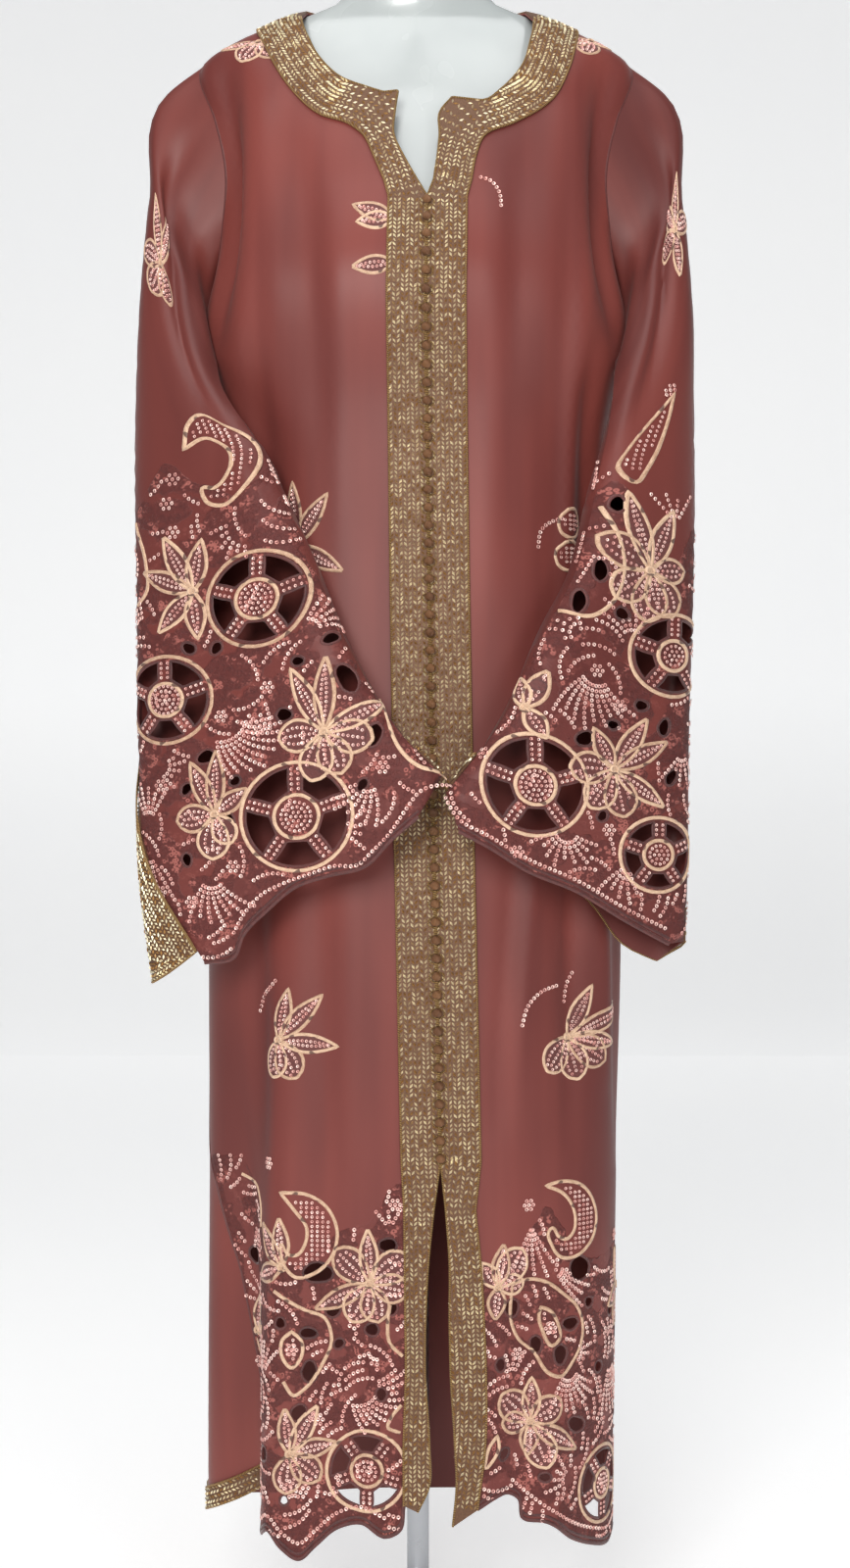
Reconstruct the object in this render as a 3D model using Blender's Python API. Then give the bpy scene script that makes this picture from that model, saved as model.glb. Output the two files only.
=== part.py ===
"""A Moroccan kaftan of satin with cutwork borders, worn by a limbless dress form on a round stand.

Metres. Z is up, the front faces -Y, and the floor is Z = 0 under the middle of the form.
Left and right are the viewer's, as seen from the front.
The body cloth is drawn flat: q is the distance round the body from the front middle line,
t is the distance round it from the back middle line, and h is the height along the cloth.
A sleeve is drawn flat as it looks from the front: x across and z up.
"""
import math

import bpy
import numpy as np
from mathutils import Vector
from mathutils.bvhtree import BVHTree
from mathutils.geometry import delaunay_2d_cdt

CLOTH = 0.0012
BRAID = 0.0020
SEAM = 0.00036
LIFT = 0.00036

# Spacing of the filling points of the nets, across and up
FRONT_NET = (0.029, 0.033)
BACK_NET = (0.036, 0.044)
SLEEVE_NET = (0.036, 0.042)

# Height along the cloth, real height, half width, depth to the front and to the back, squareness
BODY_RINGS = (
    (0.060, 0.060, 0.199, 0.150, 0.084, 2.6),
    (0.130, 0.130, 0.200, 0.150, 0.085, 2.6),
    (0.500, 0.500, 0.203, 0.150, 0.092, 2.6),
    (0.700, 0.700, 0.206, 0.146, 0.102, 2.5),
    (0.900, 0.900, 0.202, 0.138, 0.114, 2.4),
    (1.030, 1.030, 0.198, 0.129, 0.120, 2.4),
    (1.220, 1.220, 0.187, 0.123, 0.106, 2.4),
    (1.360, 1.360, 0.188, 0.140, 0.110, 2.4),
    (1.450, 1.450, 0.195, 0.112, 0.105, 2.4),
    (1.525, 1.520, 0.206, 0.088, 0.092, 2.4),
    (1.600, 1.580, 0.214, 0.066, 0.076, 2.3),
    (1.635, 1.597, 0.192, 0.060, 0.072, 2.2),
    (1.680, 1.617, 0.150, 0.053, 0.066, 2.2),
    (1.726, 1.637, 0.106, 0.047, 0.061, 2.1),
    (1.760, 1.650, 0.082, 0.043, 0.058, 2.0),
)
SHOULDER_H = 1.609
NECK_H = 1.722
ARMPIT_H = 1.345

# How far the armhole lines swing in from the side, and how far off them the sleeves start,
# at the shoulder and at the armpit
ARMHOLE_FRONT = 0.030
ARMHOLE_BACK = 0.022
SLEEVE_START = (0.0007, 0.0016)

# Folds of the body cloth: distance round the body at the low and high end, the heights of the
# two ends, how far each end stands out, and half the fold's width
BODY_FOLDS = (
    (-0.137, -0.135, 0.10, 0.84, 0.021, 0.000, 0.020),
    (-0.190, -0.182, 0.10, 0.86, -0.034, 0.000, 0.024),
    (-0.243, -0.236, 0.10, 0.80, 0.008, 0.000, 0.020),
    (0.098, 0.134, 0.20, 0.64, -0.007, 0.000, 0.017),
    (0.136, 0.166, 0.12, 0.70, 0.008, 0.000, 0.022),
    (0.300, 0.300, 0.10, 0.90, -0.012, 0.000, 0.035),
    (0.390, 0.380, 0.10, 0.85, 0.010, 0.000, 0.035),
    (-0.330, -0.320, 0.10, 0.90, 0.012, 0.000, 0.035),
    (-0.410, -0.400, 0.10, 0.85, -0.012, 0.000, 0.035),
    (-0.150, -0.110, 1.22, 1.56, -0.005, 0.000, 0.026),
    (0.150, 0.120, 1.22, 1.56, -0.005, 0.000, 0.026),
)

# Sleeve sections: outer edge x, y, z, inner edge x, y, z, and half the flattened thickness
LEFT_SLEEVE = (
    (-0.2520, 0.000, 1.5520, -0.2010, -0.004, 1.3330, 0.020),
    (-0.2640, -0.012, 1.4450, -0.2090, -0.040, 1.3000, 0.026),
    (-0.2680, -0.026, 1.3300, -0.1960, -0.086, 1.2500, 0.029),
    (-0.2690, -0.037, 1.2000, -0.1540, -0.130, 1.1860, 0.029),
    (-0.2685, -0.057, 1.0330, -0.1100, -0.156, 1.0960, 0.028),
    (-0.2660, -0.077, 0.8790, -0.0625, -0.182, 0.9880, 0.026),
    (-0.2620, -0.092, 0.7650, -0.0165, -0.198, 0.9100, 0.024),
    (-0.2505, -0.102, 0.6790, 0.0230, -0.207, 0.8690, 0.022),
    (-0.2400, -0.110, 0.6000, 0.0560, -0.213, 0.8320, 0.021),
)
RIGHT_SLEEVE = (
    (0.2520, 0.000, 1.5520, 0.2010, -0.004, 1.3330, 0.022),
    (0.2640, -0.012, 1.4450, 0.2090, -0.040, 1.3000, 0.026),
    (0.2680, -0.026, 1.3300, 0.1980, -0.086, 1.2480, 0.029),
    (0.2660, -0.037, 1.2000, 0.1760, -0.124, 1.1640, 0.029),
    (0.2635, -0.057, 1.0330, 0.1500, -0.152, 1.0590, 0.028),
    (0.2610, -0.077, 0.8890, 0.1110, -0.182, 0.9830, 0.026),
    (0.2600, -0.092, 0.7840, 0.0740, -0.198, 0.9100, 0.024),
    (0.2570, -0.102, 0.7050, 0.0290, -0.207, 0.8530, 0.022),
    (0.2540, -0.110, 0.6200, -0.0150, -0.213, 0.8000, 0.021),
)

# How square each section is, from the first one below the armhole
SLEEVE_SQUARE = (2.0, 2.2, 2.6, 3.0, 3.2, 3.2, 3.2, 3.2, 3.2)

# How the sleeve heads are drawn flat, from the armhole down: outer edge x, z and inner edge x, z.
# Below these rows a sleeve is drawn as it looks from the front.
LEFT_HEAD = (
    (-0.168, 1.558, 0.012, 1.385),
    (-0.192, 1.520, -0.012, 1.369),
    (-0.219, 1.431, -0.071, 1.339),
    (-0.248, 1.326, -0.122, 1.280),
)
RIGHT_HEAD = (
    (0.137, 1.537, -0.030, 1.351),
    (0.164, 1.500, -0.005, 1.337),
    (0.197, 1.414, 0.056, 1.311),
    (0.230, 1.313, 0.118, 1.257),
)


def spline(keys, rows, wanted):
    """A smooth curve through rows at rising keys, read at the wanted keys."""
    keys = np.asarray(keys, float)
    rows = np.asarray(rows, float)
    wanted = np.clip(np.asarray(wanted, float), keys[0], keys[-1])
    steps = np.diff(keys)
    column = (-1,) + (1,) * (rows.ndim - 1)
    rise = np.diff(rows, axis=0) / steps.reshape(column)
    slope = np.empty_like(rows)
    slope[0] = rise[0]
    slope[-1] = rise[-1]
    before = steps[:-1].reshape(column)
    after = steps[1:].reshape(column)
    slope[1:-1] = (rise[:-1] * after + rise[1:] * before) / (before + after)
    i = np.clip(np.searchsorted(keys, wanted) - 1, 0, len(keys) - 2)
    span = steps[i].reshape((-1,) + (1,) * (rows.ndim - 1))
    u = ((wanted - keys[i]) / steps[i]).reshape(span.shape)
    return (rows[i] * (2 * u**3 - 3 * u**2 + 1) + slope[i] * span * (u**3 - 2 * u**2 + u)
            + rows[i + 1] * (3 * u**2 - 2 * u**3) + slope[i + 1] * span * (u**3 - u**2))


def lengths(points):
    """Distances along a line of points, from its first one."""
    steps = np.linalg.norm(np.diff(points, axis=0), axis=1)
    return np.concatenate(([0.0], np.cumsum(steps)))


def read_grid(table, across, up):
    """Points read from a regular table at fractional columns and rows."""
    rows, columns = table.shape[:2]
    across = np.clip(across, 0, columns - 1.001)
    up = np.clip(up, 0, rows - 1.001)
    i = across.astype(int)
    j = up.astype(int)
    u = (across - i)[:, None]
    v = (up - j)[:, None]
    return ((table[j, i] * (1 - u) + table[j, i + 1] * u) * (1 - v)
            + (table[j + 1, i] * (1 - u) + table[j + 1, i + 1] * u) * v)


def outward(grid, turn):
    """Outward directions at a grid's points."""
    out = np.cross(np.gradient(grid, axis=1), np.gradient(grid, axis=0)) * turn
    return out / np.maximum(np.linalg.norm(out, axis=2), 1e-12)[..., None]


class Body:
    """The worn body cloth: rings with folds, read by distances along the cloth."""

    low = BODY_RINGS[0][0]
    high = BODY_RINGS[-1][0]
    step = 0.004
    reach = 0.760

    def __init__(self, folds):
        self.folds = folds
        count = int((self.high - self.low) / self.step) + 1
        self.heights = np.linspace(self.low, self.high, count)
        self.span = np.arange(-self.reach, self.reach + self.step / 2, self.step)
        rings = spline([row[0] for row in BODY_RINGS], [row[1:] for row in BODY_RINGS],
                       self.heights)
        self.front_table = np.empty((count, len(self.span), 3))
        self.back_table = np.empty((count, len(self.span), 3))
        self.side_q = np.empty((count, 2))
        self.half = np.empty((count, 2))
        for j, ring in enumerate(rings):
            self.add_ring(j, ring)
        self.front_out = outward(self.front_table, 1)
        self.back_out = outward(self.back_table, -1)

    def add_ring(self, j, ring):
        """One ring, with its folds, spread evenly along its own length."""
        z, wide, front, back, power = ring
        angle = np.linspace(-math.pi, math.pi, 1441)
        x = wide * np.sign(np.sin(angle)) * np.abs(np.sin(angle)) ** (2 / power)
        depth = np.where(np.cos(angle) > 0, front, back)
        y = -depth * np.sign(np.cos(angle)) * np.abs(np.cos(angle)) ** (2 / power)
        flat = np.column_stack((x, y))
        along = lengths(flat)
        along -= along[720]
        ahead = np.gradient(flat, axis=0)
        out = np.column_stack((-ahead[:, 1], ahead[:, 0]))
        out = -out / np.maximum(np.linalg.norm(out, axis=1), 1e-9)[:, None]
        moved = np.zeros(len(angle))
        for q_low, q_high, z_low, z_high, out_low, out_high, width in self.folds:
            u = min(max((z - z_low) / (z_high - z_low), 0.0), 1.0)
            fade = 1 - u * u * (3 - 2 * u)
            middle = q_low + (q_high - q_low) * u
            stand = out_low * fade + out_high * (1 - fade)
            moved += stand * np.exp(-0.5 * ((along - middle) / width) ** 2)
        flat = flat + out * moved[:, None]
        q = lengths(flat)
        q -= q[720]
        ring_points = np.column_stack((flat, np.full(len(q), z)))
        self.side_q[j] = np.interp((-math.pi / 2, math.pi / 2), angle, q)
        self.half[j] = (-q[0], q[-1])
        round_back = np.where(self.span >= 0, q[-1] - self.span, q[0] - self.span)
        for k in range(3):
            self.front_table[j, :, k] = np.interp(self.span, q, ring_points[:, k])
            self.back_table[j, :, k] = np.interp(round_back, q, ring_points[:, k])

    def rows(self, h):
        return (np.asarray(h, float) - self.low) / (self.heights[1] - self.heights[0])

    def columns(self, q):
        return (np.asarray(q, float) + self.reach) / self.step

    def front(self, flat):
        """Places and outward directions at flat points of the front."""
        columns, rows = self.columns(flat[:, 0]), self.rows(flat[:, 1])
        return read_grid(self.front_table, columns, rows), read_grid(self.front_out, columns, rows)

    def back(self, flat):
        """Places and outward directions at flat points of the back."""
        columns, rows = self.columns(flat[:, 0]), self.rows(flat[:, 1])
        return read_grid(self.back_table, columns, rows), read_grid(self.back_out, columns, rows)

    def side(self, h, side):
        """How far round the side line lies at a height: side is -1 for left, 1 for right."""
        return np.interp(h, self.heights, self.side_q[:, (side + 1) // 2])

    def half_round(self, h, side):
        """Half the way round the body at a height, on one side."""
        return np.interp(h, self.heights, self.half[:, (side + 1) // 2])


def armhole(body, side, count=10, inset=0.0):
    """The front and back armhole lines on the flat body, from the shoulder to the armpit."""
    h = np.linspace(SHOULDER_H, ARMPIT_H, count)
    swing = np.sin(np.pi * np.linspace(0, 1, count))
    edge = body.side(h, side)
    half = body.half_round(h, side)
    front = np.column_stack((edge - side * (ARMHOLE_FRONT * swing + inset), h))
    back = np.column_stack((side * (half - np.abs(edge) - ARMHOLE_BACK * swing - inset), h))
    return front, back


class Sleeve:
    """A flattened sleeve: loops from the armhole to past the cuff, each a front and a back half."""

    across = 48
    along = 10

    def __init__(self, body, side, sections, head):
        self.side = side
        front_hole, back_hole = armhole(body, side, 24)
        shift = np.linspace(*SLEEVE_START, 24)[:, None] * np.array((side, 0, 0))
        front_loop = self.even(body.front(front_hole)[0] + shift)
        back_loop = self.even(body.back(back_hole)[0] + shift)
        fronts = [front_loop]
        backs = [back_loop]
        outer = [front_loop[0]]
        inner = [front_loop[-1]]
        middles = [(front_loop[0] + front_loop[-1]) / 2]
        for row in sections:
            outer.append(np.array(row[0:3]))
            inner.append(np.array(row[3:6]))
            middles.append((outer[-1] + inner[-1]) / 2)
        keys = lengths(np.array(middles))
        for k, row in enumerate(sections, start=1):
            half_front, half_back = self.section(outer[k], inner[k], row[6],
                                                 2 / SLEEVE_SQUARE[k - 1])
            fronts.append(half_front)
            backs.append(half_back)
        wanted = np.interp(np.linspace(0, len(keys) - 1, (len(keys) - 1) * self.along + 1),
                           range(len(keys)), keys)
        self.front_rows = spline(keys, np.array(fronts), wanted)
        self.back_rows = spline(keys, np.array(backs), wanted)
        flat = [row for row in head]
        flat += [(a[0], a[2], b[0], b[2]) for a, b in zip(outer[len(head):], inner[len(head):])]
        flat = spline(keys, np.array(flat), wanted)
        self.outer = flat[:, 0:2]
        self.inner = flat[:, 2:4]

    def even(self, points):
        """The same line with its points spread evenly."""
        along = lengths(points)
        wanted = np.linspace(0, along[-1], self.across + 1)
        return np.column_stack([np.interp(wanted, along, points[:, k]) for k in range(3)])

    def section(self, outer, inner, thick, power):
        """The two halves of one flattened loop, each from the outer edge to the inner edge."""
        span = inner - outer
        wide = np.linalg.norm(span)
        right = span / wide
        forward = right[1] * right - np.array((0, 1, 0))
        forward /= np.linalg.norm(forward)
        turn = np.linspace(0, math.pi, 240)
        x = -np.sign(np.cos(turn)) * np.abs(np.cos(turn)) ** power * wide / 2
        y = np.abs(np.sin(turn)) ** power * thick
        middle = (outer + inner) / 2
        front = middle + x[:, None] * right + y[:, None] * forward
        back = middle + x[:, None] * right - y[:, None] * forward
        return self.even(front), self.even(back)

    def flat_grid(self, past):
        """Flat x and z of the grid, with columns past the outer edge and one past the inner."""
        share = np.arange(-past, self.across + 2) / self.across
        outer = self.outer[:, None, :]
        inner = self.inner[:, None, :]
        return outer + (inner - outer) * share[None, :, None]

    def lifter(self, rows, flat, turn):
        """A function from flat points to places and outward directions on the sleeve."""
        count_up, count_across = flat.shape[:2]
        corner = [Vector((x, z, 0)) for x, z in flat.reshape(-1, 2)]
        place = np.column_stack((rows.reshape(-1, 3), outward(rows, turn).reshape(-1, 3)))
        tris = []
        for j in range(count_up - 1):
            for i in range(count_across - 1):
                a = j * count_across + i
                b = a + count_across
                tris += [(a, a + 1, b + 1), (a, b + 1, b)]
        tree = BVHTree.FromPolygons(corner, tris)
        flats = flat.reshape(-1, 2)

        def lift(points):
            found = np.empty((len(points), 6))
            for n, (x, z) in enumerate(points):
                spot, _, index, _ = tree.find_nearest(Vector((x, z, 0)))
                a, b, c = tris[index]
                p, q, r = flats[a], flats[b], flats[c]
                area = (q[0] - p[0]) * (r[1] - p[1]) - (r[0] - p[0]) * (q[1] - p[1])
                u = ((spot[0] - p[0]) * (r[1] - p[1]) - (r[0] - p[0]) * (spot[1] - p[1])) / area
                v = ((q[0] - p[0]) * (spot[1] - p[1]) - (spot[0] - p[0]) * (q[1] - p[1])) / area
                found[n] = place[a] + u * (place[b] - place[a]) + v * (place[c] - place[a])
            out = found[:, 3:]
            return found[:, :3], out / np.linalg.norm(out, axis=1)[:, None]
        return lift

    def wrapped(self, rows, others, past, turn):
        """A function from flat points to one half, which runs on round both its edges."""
        before = others[:, past:0:-1]
        after = others[:, -2:-3:-1]
        return self.lifter(np.concatenate((before, rows, after), axis=1), self.flat_grid(past),
                           turn)

    def front(self):
        return self.wrapped(self.front_rows, self.back_rows, 4, self.side)

    def back(self):
        return self.wrapped(self.back_rows, self.front_rows, 14, -self.side)


# The front edges where they are buttoned together: height and distance from the middle line
BUTTONED = ((0.505, 0.0235), (0.860, 0.0160), (1.046, 0.0130), (1.322, 0.0095), (1.418, 0.0110))
BUTTONED_ROWS = 26

# Each front's free edge below the buttons, and above them at the neck
SLIT = {-1: ((0.177, 0.0020), (0.200, 0.0125), (0.240, 0.0130), (0.309, 0.0090),
             (0.360, 0.0095), (0.410, 0.0120), (0.460, 0.0170)),
        1: ((0.163, 0.0350), (0.200, 0.0385), (0.240, 0.0370), (0.309, 0.0330),
            (0.360, 0.0320), (0.410, 0.0320), (0.460, 0.0285))}
NECK_SLIT = {-1: ((1.436, 0.0010), (1.462, -0.0120), (1.485, -0.0210), (1.512, -0.0200),
                  (1.537, -0.0170)),
             1: ((1.436, 0.0175), (1.462, 0.0210), (1.485, 0.0230), (1.510, 0.0230),
                 (1.529, 0.0350))}

# Each front's neckline from the slit to the shoulder, and the outer edge of its braid
NECKLINE = {-1: ((-0.031, 1.5350), (-0.048, 1.5420), (-0.073, 1.5550), (-0.094, 1.5830),
                 (-0.107, 1.6300), (-0.115, 1.6800)),
            1: ((0.0520, 1.5270), (0.0660, 1.5260), (0.0830, 1.5410), (0.1030, 1.5700),
                (0.1130, 1.6200), (0.1180, 1.6750))}
BRAID_EDGE = {-1: ((-0.011, 0.2400), (-0.009, 0.3090), (-0.0095, 0.3600), (-0.010, 0.4100),
                   (-0.0105, 0.4600)),
              1: ((0.0655, 0.2400), (0.0660, 0.3090), (0.0640, 0.3600), (0.0610, 0.4100),
                  (0.0560, 0.4600))}
BRAID_WIDTH = {-1: 0.0365, 1: 0.0375}
COLLAR_EDGE = {-1: ((-0.0300, 1.4360), (-0.0400, 1.4620), (-0.0500, 1.4850), (-0.0640, 1.4980),
                    (-0.0930, 1.5110), (-0.1210, 1.5430), (-0.1410, 1.5830), (-0.1540, 1.6300)),
               1: ((0.0530, 1.4360), (0.0575, 1.4620), (0.0660, 1.4850), (0.0950, 1.5010),
                   (0.1320, 1.5300), (0.1500, 1.5700), (0.1600, 1.6250))}
COLLAR_END = 1.681

# Scalloped lower edges of the fronts, from the braid to the side seam
FRONT_HEM = {-1: ((-0.0110, 0.1830), (-0.0160, 0.1580), (-0.0270, 0.1530), (-0.0510, 0.1650),
                  (-0.0730, 0.1610), (-0.0960, 0.1420), (-0.1100, 0.1300), (-0.1270, 0.1410),
                  (-0.1420, 0.1560), (-0.1600, 0.1480), (-0.1780, 0.1540), (-0.1900, 0.1680)),
             1: ((0.0580, 0.1780), (0.0750, 0.1870), (0.0890, 0.1910), (0.1000, 0.1850),
                 (0.1040, 0.1660), (0.1250, 0.1630), (0.1560, 0.1420), (0.1850, 0.1300),
                 (0.2120, 0.1240), (0.2400, 0.1330), (0.2650, 0.1280), (0.2890, 0.1480))}

# The left side seam swings forward below this table's top row: height and distance round
LEFT_SEAM = ((0.168, -0.192), (0.230, -0.196), (0.310, -0.204), (0.390, -0.212), (0.470, -0.234),
             (0.560, -0.2915))
BACK_HEM = ((-0.3800, 0.1830), (-0.3300, 0.1600), (-0.2800, 0.1400), (-0.2000, 0.1300),
            (-0.1000, 0.1270), (0.0000, 0.1260), (0.1000, 0.1270), (0.1800, 0.1290),
            (0.2400, 0.1300))
BACK_HEM_BRAID = 0.021
BACK_NECK = ((-0.070, 1.735), (0.000, 1.738), (0.070, 1.735))
BACK_COLLAR = ((-0.125, 1.660), (-0.060, 1.646), (0.000, 1.642), (0.060, 1.646), (0.125, 1.660))

# Wheels of cutwork: middle, rim radius, hub radius, and the turn of the first spoke in degrees
SLEEVE_WHEELS = {-1: ((-0.142, 1.036, 0.044, 0.018, 90), (-0.224, 0.948, 0.042, 0.016, 90),
                      (-0.105, 0.833, 0.050, 0.020, 92)),
                 1: ((0.107, 0.861, 0.046, 0.0175, 90), (0.218, 0.801, 0.036, 0.014, 90),
                     (0.228, 0.990, 0.038, 0.014, 90))}
HEM_WHEELS = {-1: ((-0.046, 0.214, 0.038, 0.015, -90),),
              1: ((0.202, 0.184, 0.037, 0.014, -90),)}

# Single gaps of cutwork: middle, length, width, and the turn of the length in degrees
SLEEVE_GAPS = {
    -1: ((-0.178, 0.994, 0.014, 0.010, 60), (-0.179, 0.943, 0.026, 0.010, 80),
         (-0.064, 0.956, 0.030, 0.015, -60), (-0.039, 0.904, 0.022, 0.013, 80),
         (-0.116, 0.927, 0.015, 0.012, 0), (-0.188, 0.892, 0.018, 0.012, 30),
         (-0.047, 0.860, 0.014, 0.009, 60), (-0.166, 0.829, 0.022, 0.010, 90),
         (-0.160, 0.868, 0.012, 0.009, 40), (-0.202, 0.996, 0.014, 0.010, -45),
         (-0.105, 0.975, 0.012, 0.009, 0), (-0.079, 0.993, 0.016, 0.010, 20),
         (-0.205, 0.862, 0.014, 0.009, 60), (-0.205, 0.795, 0.014, 0.009, 100)),
    1: ((0.190, 1.122, 0.016, 0.010, 80), (0.170, 1.104, 0.014, 0.010, 60),
        (0.168, 1.061, 0.022, 0.010, 80), (0.150, 1.030, 0.024, 0.010, 75),
        (0.183, 1.024, 0.014, 0.011, -30), (0.123, 0.989, 0.026, 0.014, 60),
        (0.112, 0.950, 0.014, 0.010, 0), (0.201, 0.942, 0.012, 0.010, 0),
        (0.176, 0.922, 0.012, 0.009, 0), (0.221, 0.923, 0.018, 0.010, 80),
        (0.150, 0.907, 0.018, 0.013, 30), (0.229, 0.876, 0.018, 0.010, 60),
        (0.166, 0.836, 0.012, 0.009, 60), (0.194, 0.850, 0.012, 0.010, 0),
        (0.080, 0.925, 0.012, 0.009, 60), (0.200, 1.075, 0.012, 0.009, 90))}
HEM_GAPS = {
    -1: ((-0.026, 0.427, 0.018, 0.013, 0), (-0.092, 0.400, 0.030, 0.018, 0),
         (-0.078, 0.366, 0.016, 0.014, 45), (-0.041, 0.348, 0.014, 0.012, 0),
         (-0.022, 0.368, 0.014, 0.010, 90), (-0.101, 0.343, 0.018, 0.010, 0),
         (-0.072, 0.334, 0.012, 0.009, 45), (-0.100, 0.307, 0.022, 0.014, 90),
         (-0.110, 0.268, 0.018, 0.014, 60), (-0.128, 0.352, 0.012, 0.010, 90),
         (-0.192, 0.405, 0.018, 0.016, 0), (-0.166, 0.352, 0.018, 0.014, 60),
         (-0.178, 0.290, 0.016, 0.013, 90), (-0.150, 0.226, 0.016, 0.013, 60),
         (-0.124, 0.186, 0.010, 0.008, 90), (-0.032, 0.287, 0.014, 0.010, 90)),
    1: ((0.164, 0.398, 0.026, 0.022, -30), (0.176, 0.364, 0.012, 0.010, 0),
        (0.152, 0.347, 0.020, 0.012, 0), (0.140, 0.319, 0.020, 0.014, 90),
        (0.092, 0.366, 0.018, 0.014, 90), (0.116, 0.330, 0.018, 0.011, 90),
        (0.192, 0.299, 0.013, 0.011, 0), (0.244, 0.322, 0.014, 0.010, 90),
        (0.160, 0.250, 0.024, 0.014, -20), (0.081, 0.313, 0.014, 0.010, 90),
        (0.238, 0.246, 0.014, 0.010, 0), (0.085, 0.228, 0.014, 0.009, 60),
        (0.262, 0.398, 0.016, 0.012, 90), (0.262, 0.278, 0.016, 0.012, 60),
        (0.215, 0.350, 0.014, 0.010, 60), (0.124, 0.205, 0.012, 0.009, 0))}

# Cut edges of the front sleeve halves at the cuffs, from the inner edge to the outer one
CUFF = {-1: ((0.0020, 0.8300), (-0.0220, 0.8090), (-0.0430, 0.7870), (-0.0780, 0.7780),
             (-0.1050, 0.7690), (-0.1320, 0.7470), (-0.1540, 0.7240), (-0.1630, 0.7030),
             (-0.1900, 0.6980)),
        1: ((0.0400, 0.8170), (0.0650, 0.8040), (0.0990, 0.7830), (0.1430, 0.7650),
            (0.1880, 0.7380), (0.2300, 0.7150))}
CUFF_TIP = {-1: 8.05, 1: 8.02}
CUFF_OUTER = {-1: 6.0, 1: 7.95}

# Lower edge of the back sleeve halves: how far along the sleeve, and the share across it
BACK_CUFF = {-1: ((8.00, 0.80), (8.02, 0.55), (8.05, 0.30), (8.08, 0.12), (8.10, 0.00),
                  (8.12, -0.10), (8.10, -0.19)),
             1: ((7.98, 0.80), (8.02, 0.55), (8.20, 0.35), (8.42, 0.20), (8.36, 0.10))}
WEDGE = {-1: ((7.60, -0.150), (7.10, -0.105), (6.60, -0.055)), 1: ()}
WEDGE_FOLD = (6.1, 6.6, 7.1, 7.6, 8.0)
CUFF_BRAID = 0.42

# Form rings: height, half width, depth to the front and to the back, squareness
FORM_RINGS = (
    (0.868, 0.166, 0.104, 0.090, 2.2),
    (0.900, 0.172, 0.108, 0.098, 2.2),
    (1.000, 0.178, 0.108, 0.106, 2.2),
    (1.080, 0.168, 0.104, 0.100, 2.2),
    (1.190, 0.134, 0.092, 0.082, 2.2),
    (1.280, 0.144, 0.104, 0.082, 2.2),
    (1.355, 0.160, 0.120, 0.090, 2.3),
    (1.430, 0.170, 0.100, 0.088, 2.3),
    (1.500, 0.184, 0.074, 0.078, 2.3),
    (1.545, 0.192, 0.058, 0.068, 2.3),
)
FORM_NECK = (
    (1.640, 0.083, 0.040, 0.048, 2.0),
    (1.652, 0.071, 0.044, 0.047, 2.0),
    (1.672, 0.061, 0.046, 0.046, 2.0),
    (1.715, 0.056, 0.047, 0.045, 2.0),
)
FORM_UNDER = 0.0005
FORM_SLIM = 0.80
FORM_RIDGE = 1.25
POLE_X = 0.002
POLE_RADIUS = 0.011
BASE_RADIUS = 0.140
BASE_HEIGHT = 0.018

# The knotted buttons: how many, their radius, and the cord between them
BUTTON_COUNT = 54
BUTTON_RADIUS = 0.0044
CORD_RADIUS = 0.0016
CORD_SIDES = 5

SATIN = (0.200, 0.062, 0.048)
SATIN_DARK = (0.120, 0.036, 0.030)
GOLD = (0.260, 0.150, 0.060)
FORM_WHITE = (0.780, 0.800, 0.790)
STEEL = (0.550, 0.550, 0.560)


def material(name, colour, roughness, metallic=0.0):
    made = bpy.data.materials.new(name)
    made.use_nodes = True
    shader = made.node_tree.nodes["Principled BSDF"]
    shader.inputs["Base Color"].default_value = (*colour, 1.0)
    shader.inputs["Roughness"].default_value = roughness
    shader.inputs["Metallic"].default_value = metallic
    made.diffuse_color = (*colour, 1.0)
    return made


def inside(points, loop):
    """Which of the points lie inside a closed loop."""
    points = np.asarray(points, float)
    loop = np.asarray(loop, float)
    x, y = points[:, 0:1], points[:, 1:2]
    ax, ay = loop[:, 0], loop[:, 1]
    bx, by = np.roll(ax, -1), np.roll(ay, -1)
    rise = np.where(by == ay, 1e-12, by - ay)
    crosses = ((ay > y) != (by > y)) & (x < ax + (y - ay) * (bx - ax) / rise)
    return crosses.sum(axis=1) % 2 == 1


def distance(points, starts, ends):
    """The distance from each point to the nearest of some straight lines."""
    points = np.asarray(points, float)[:, None, :]
    run = (ends - starts)[None]
    share = ((points - starts[None]) * run).sum(-1) / np.maximum((run * run).sum(-1), 1e-12)
    spot = starts[None] + np.clip(share, 0, 1)[..., None] * run
    return np.linalg.norm(points - spot, axis=-1).min(axis=1)


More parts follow.
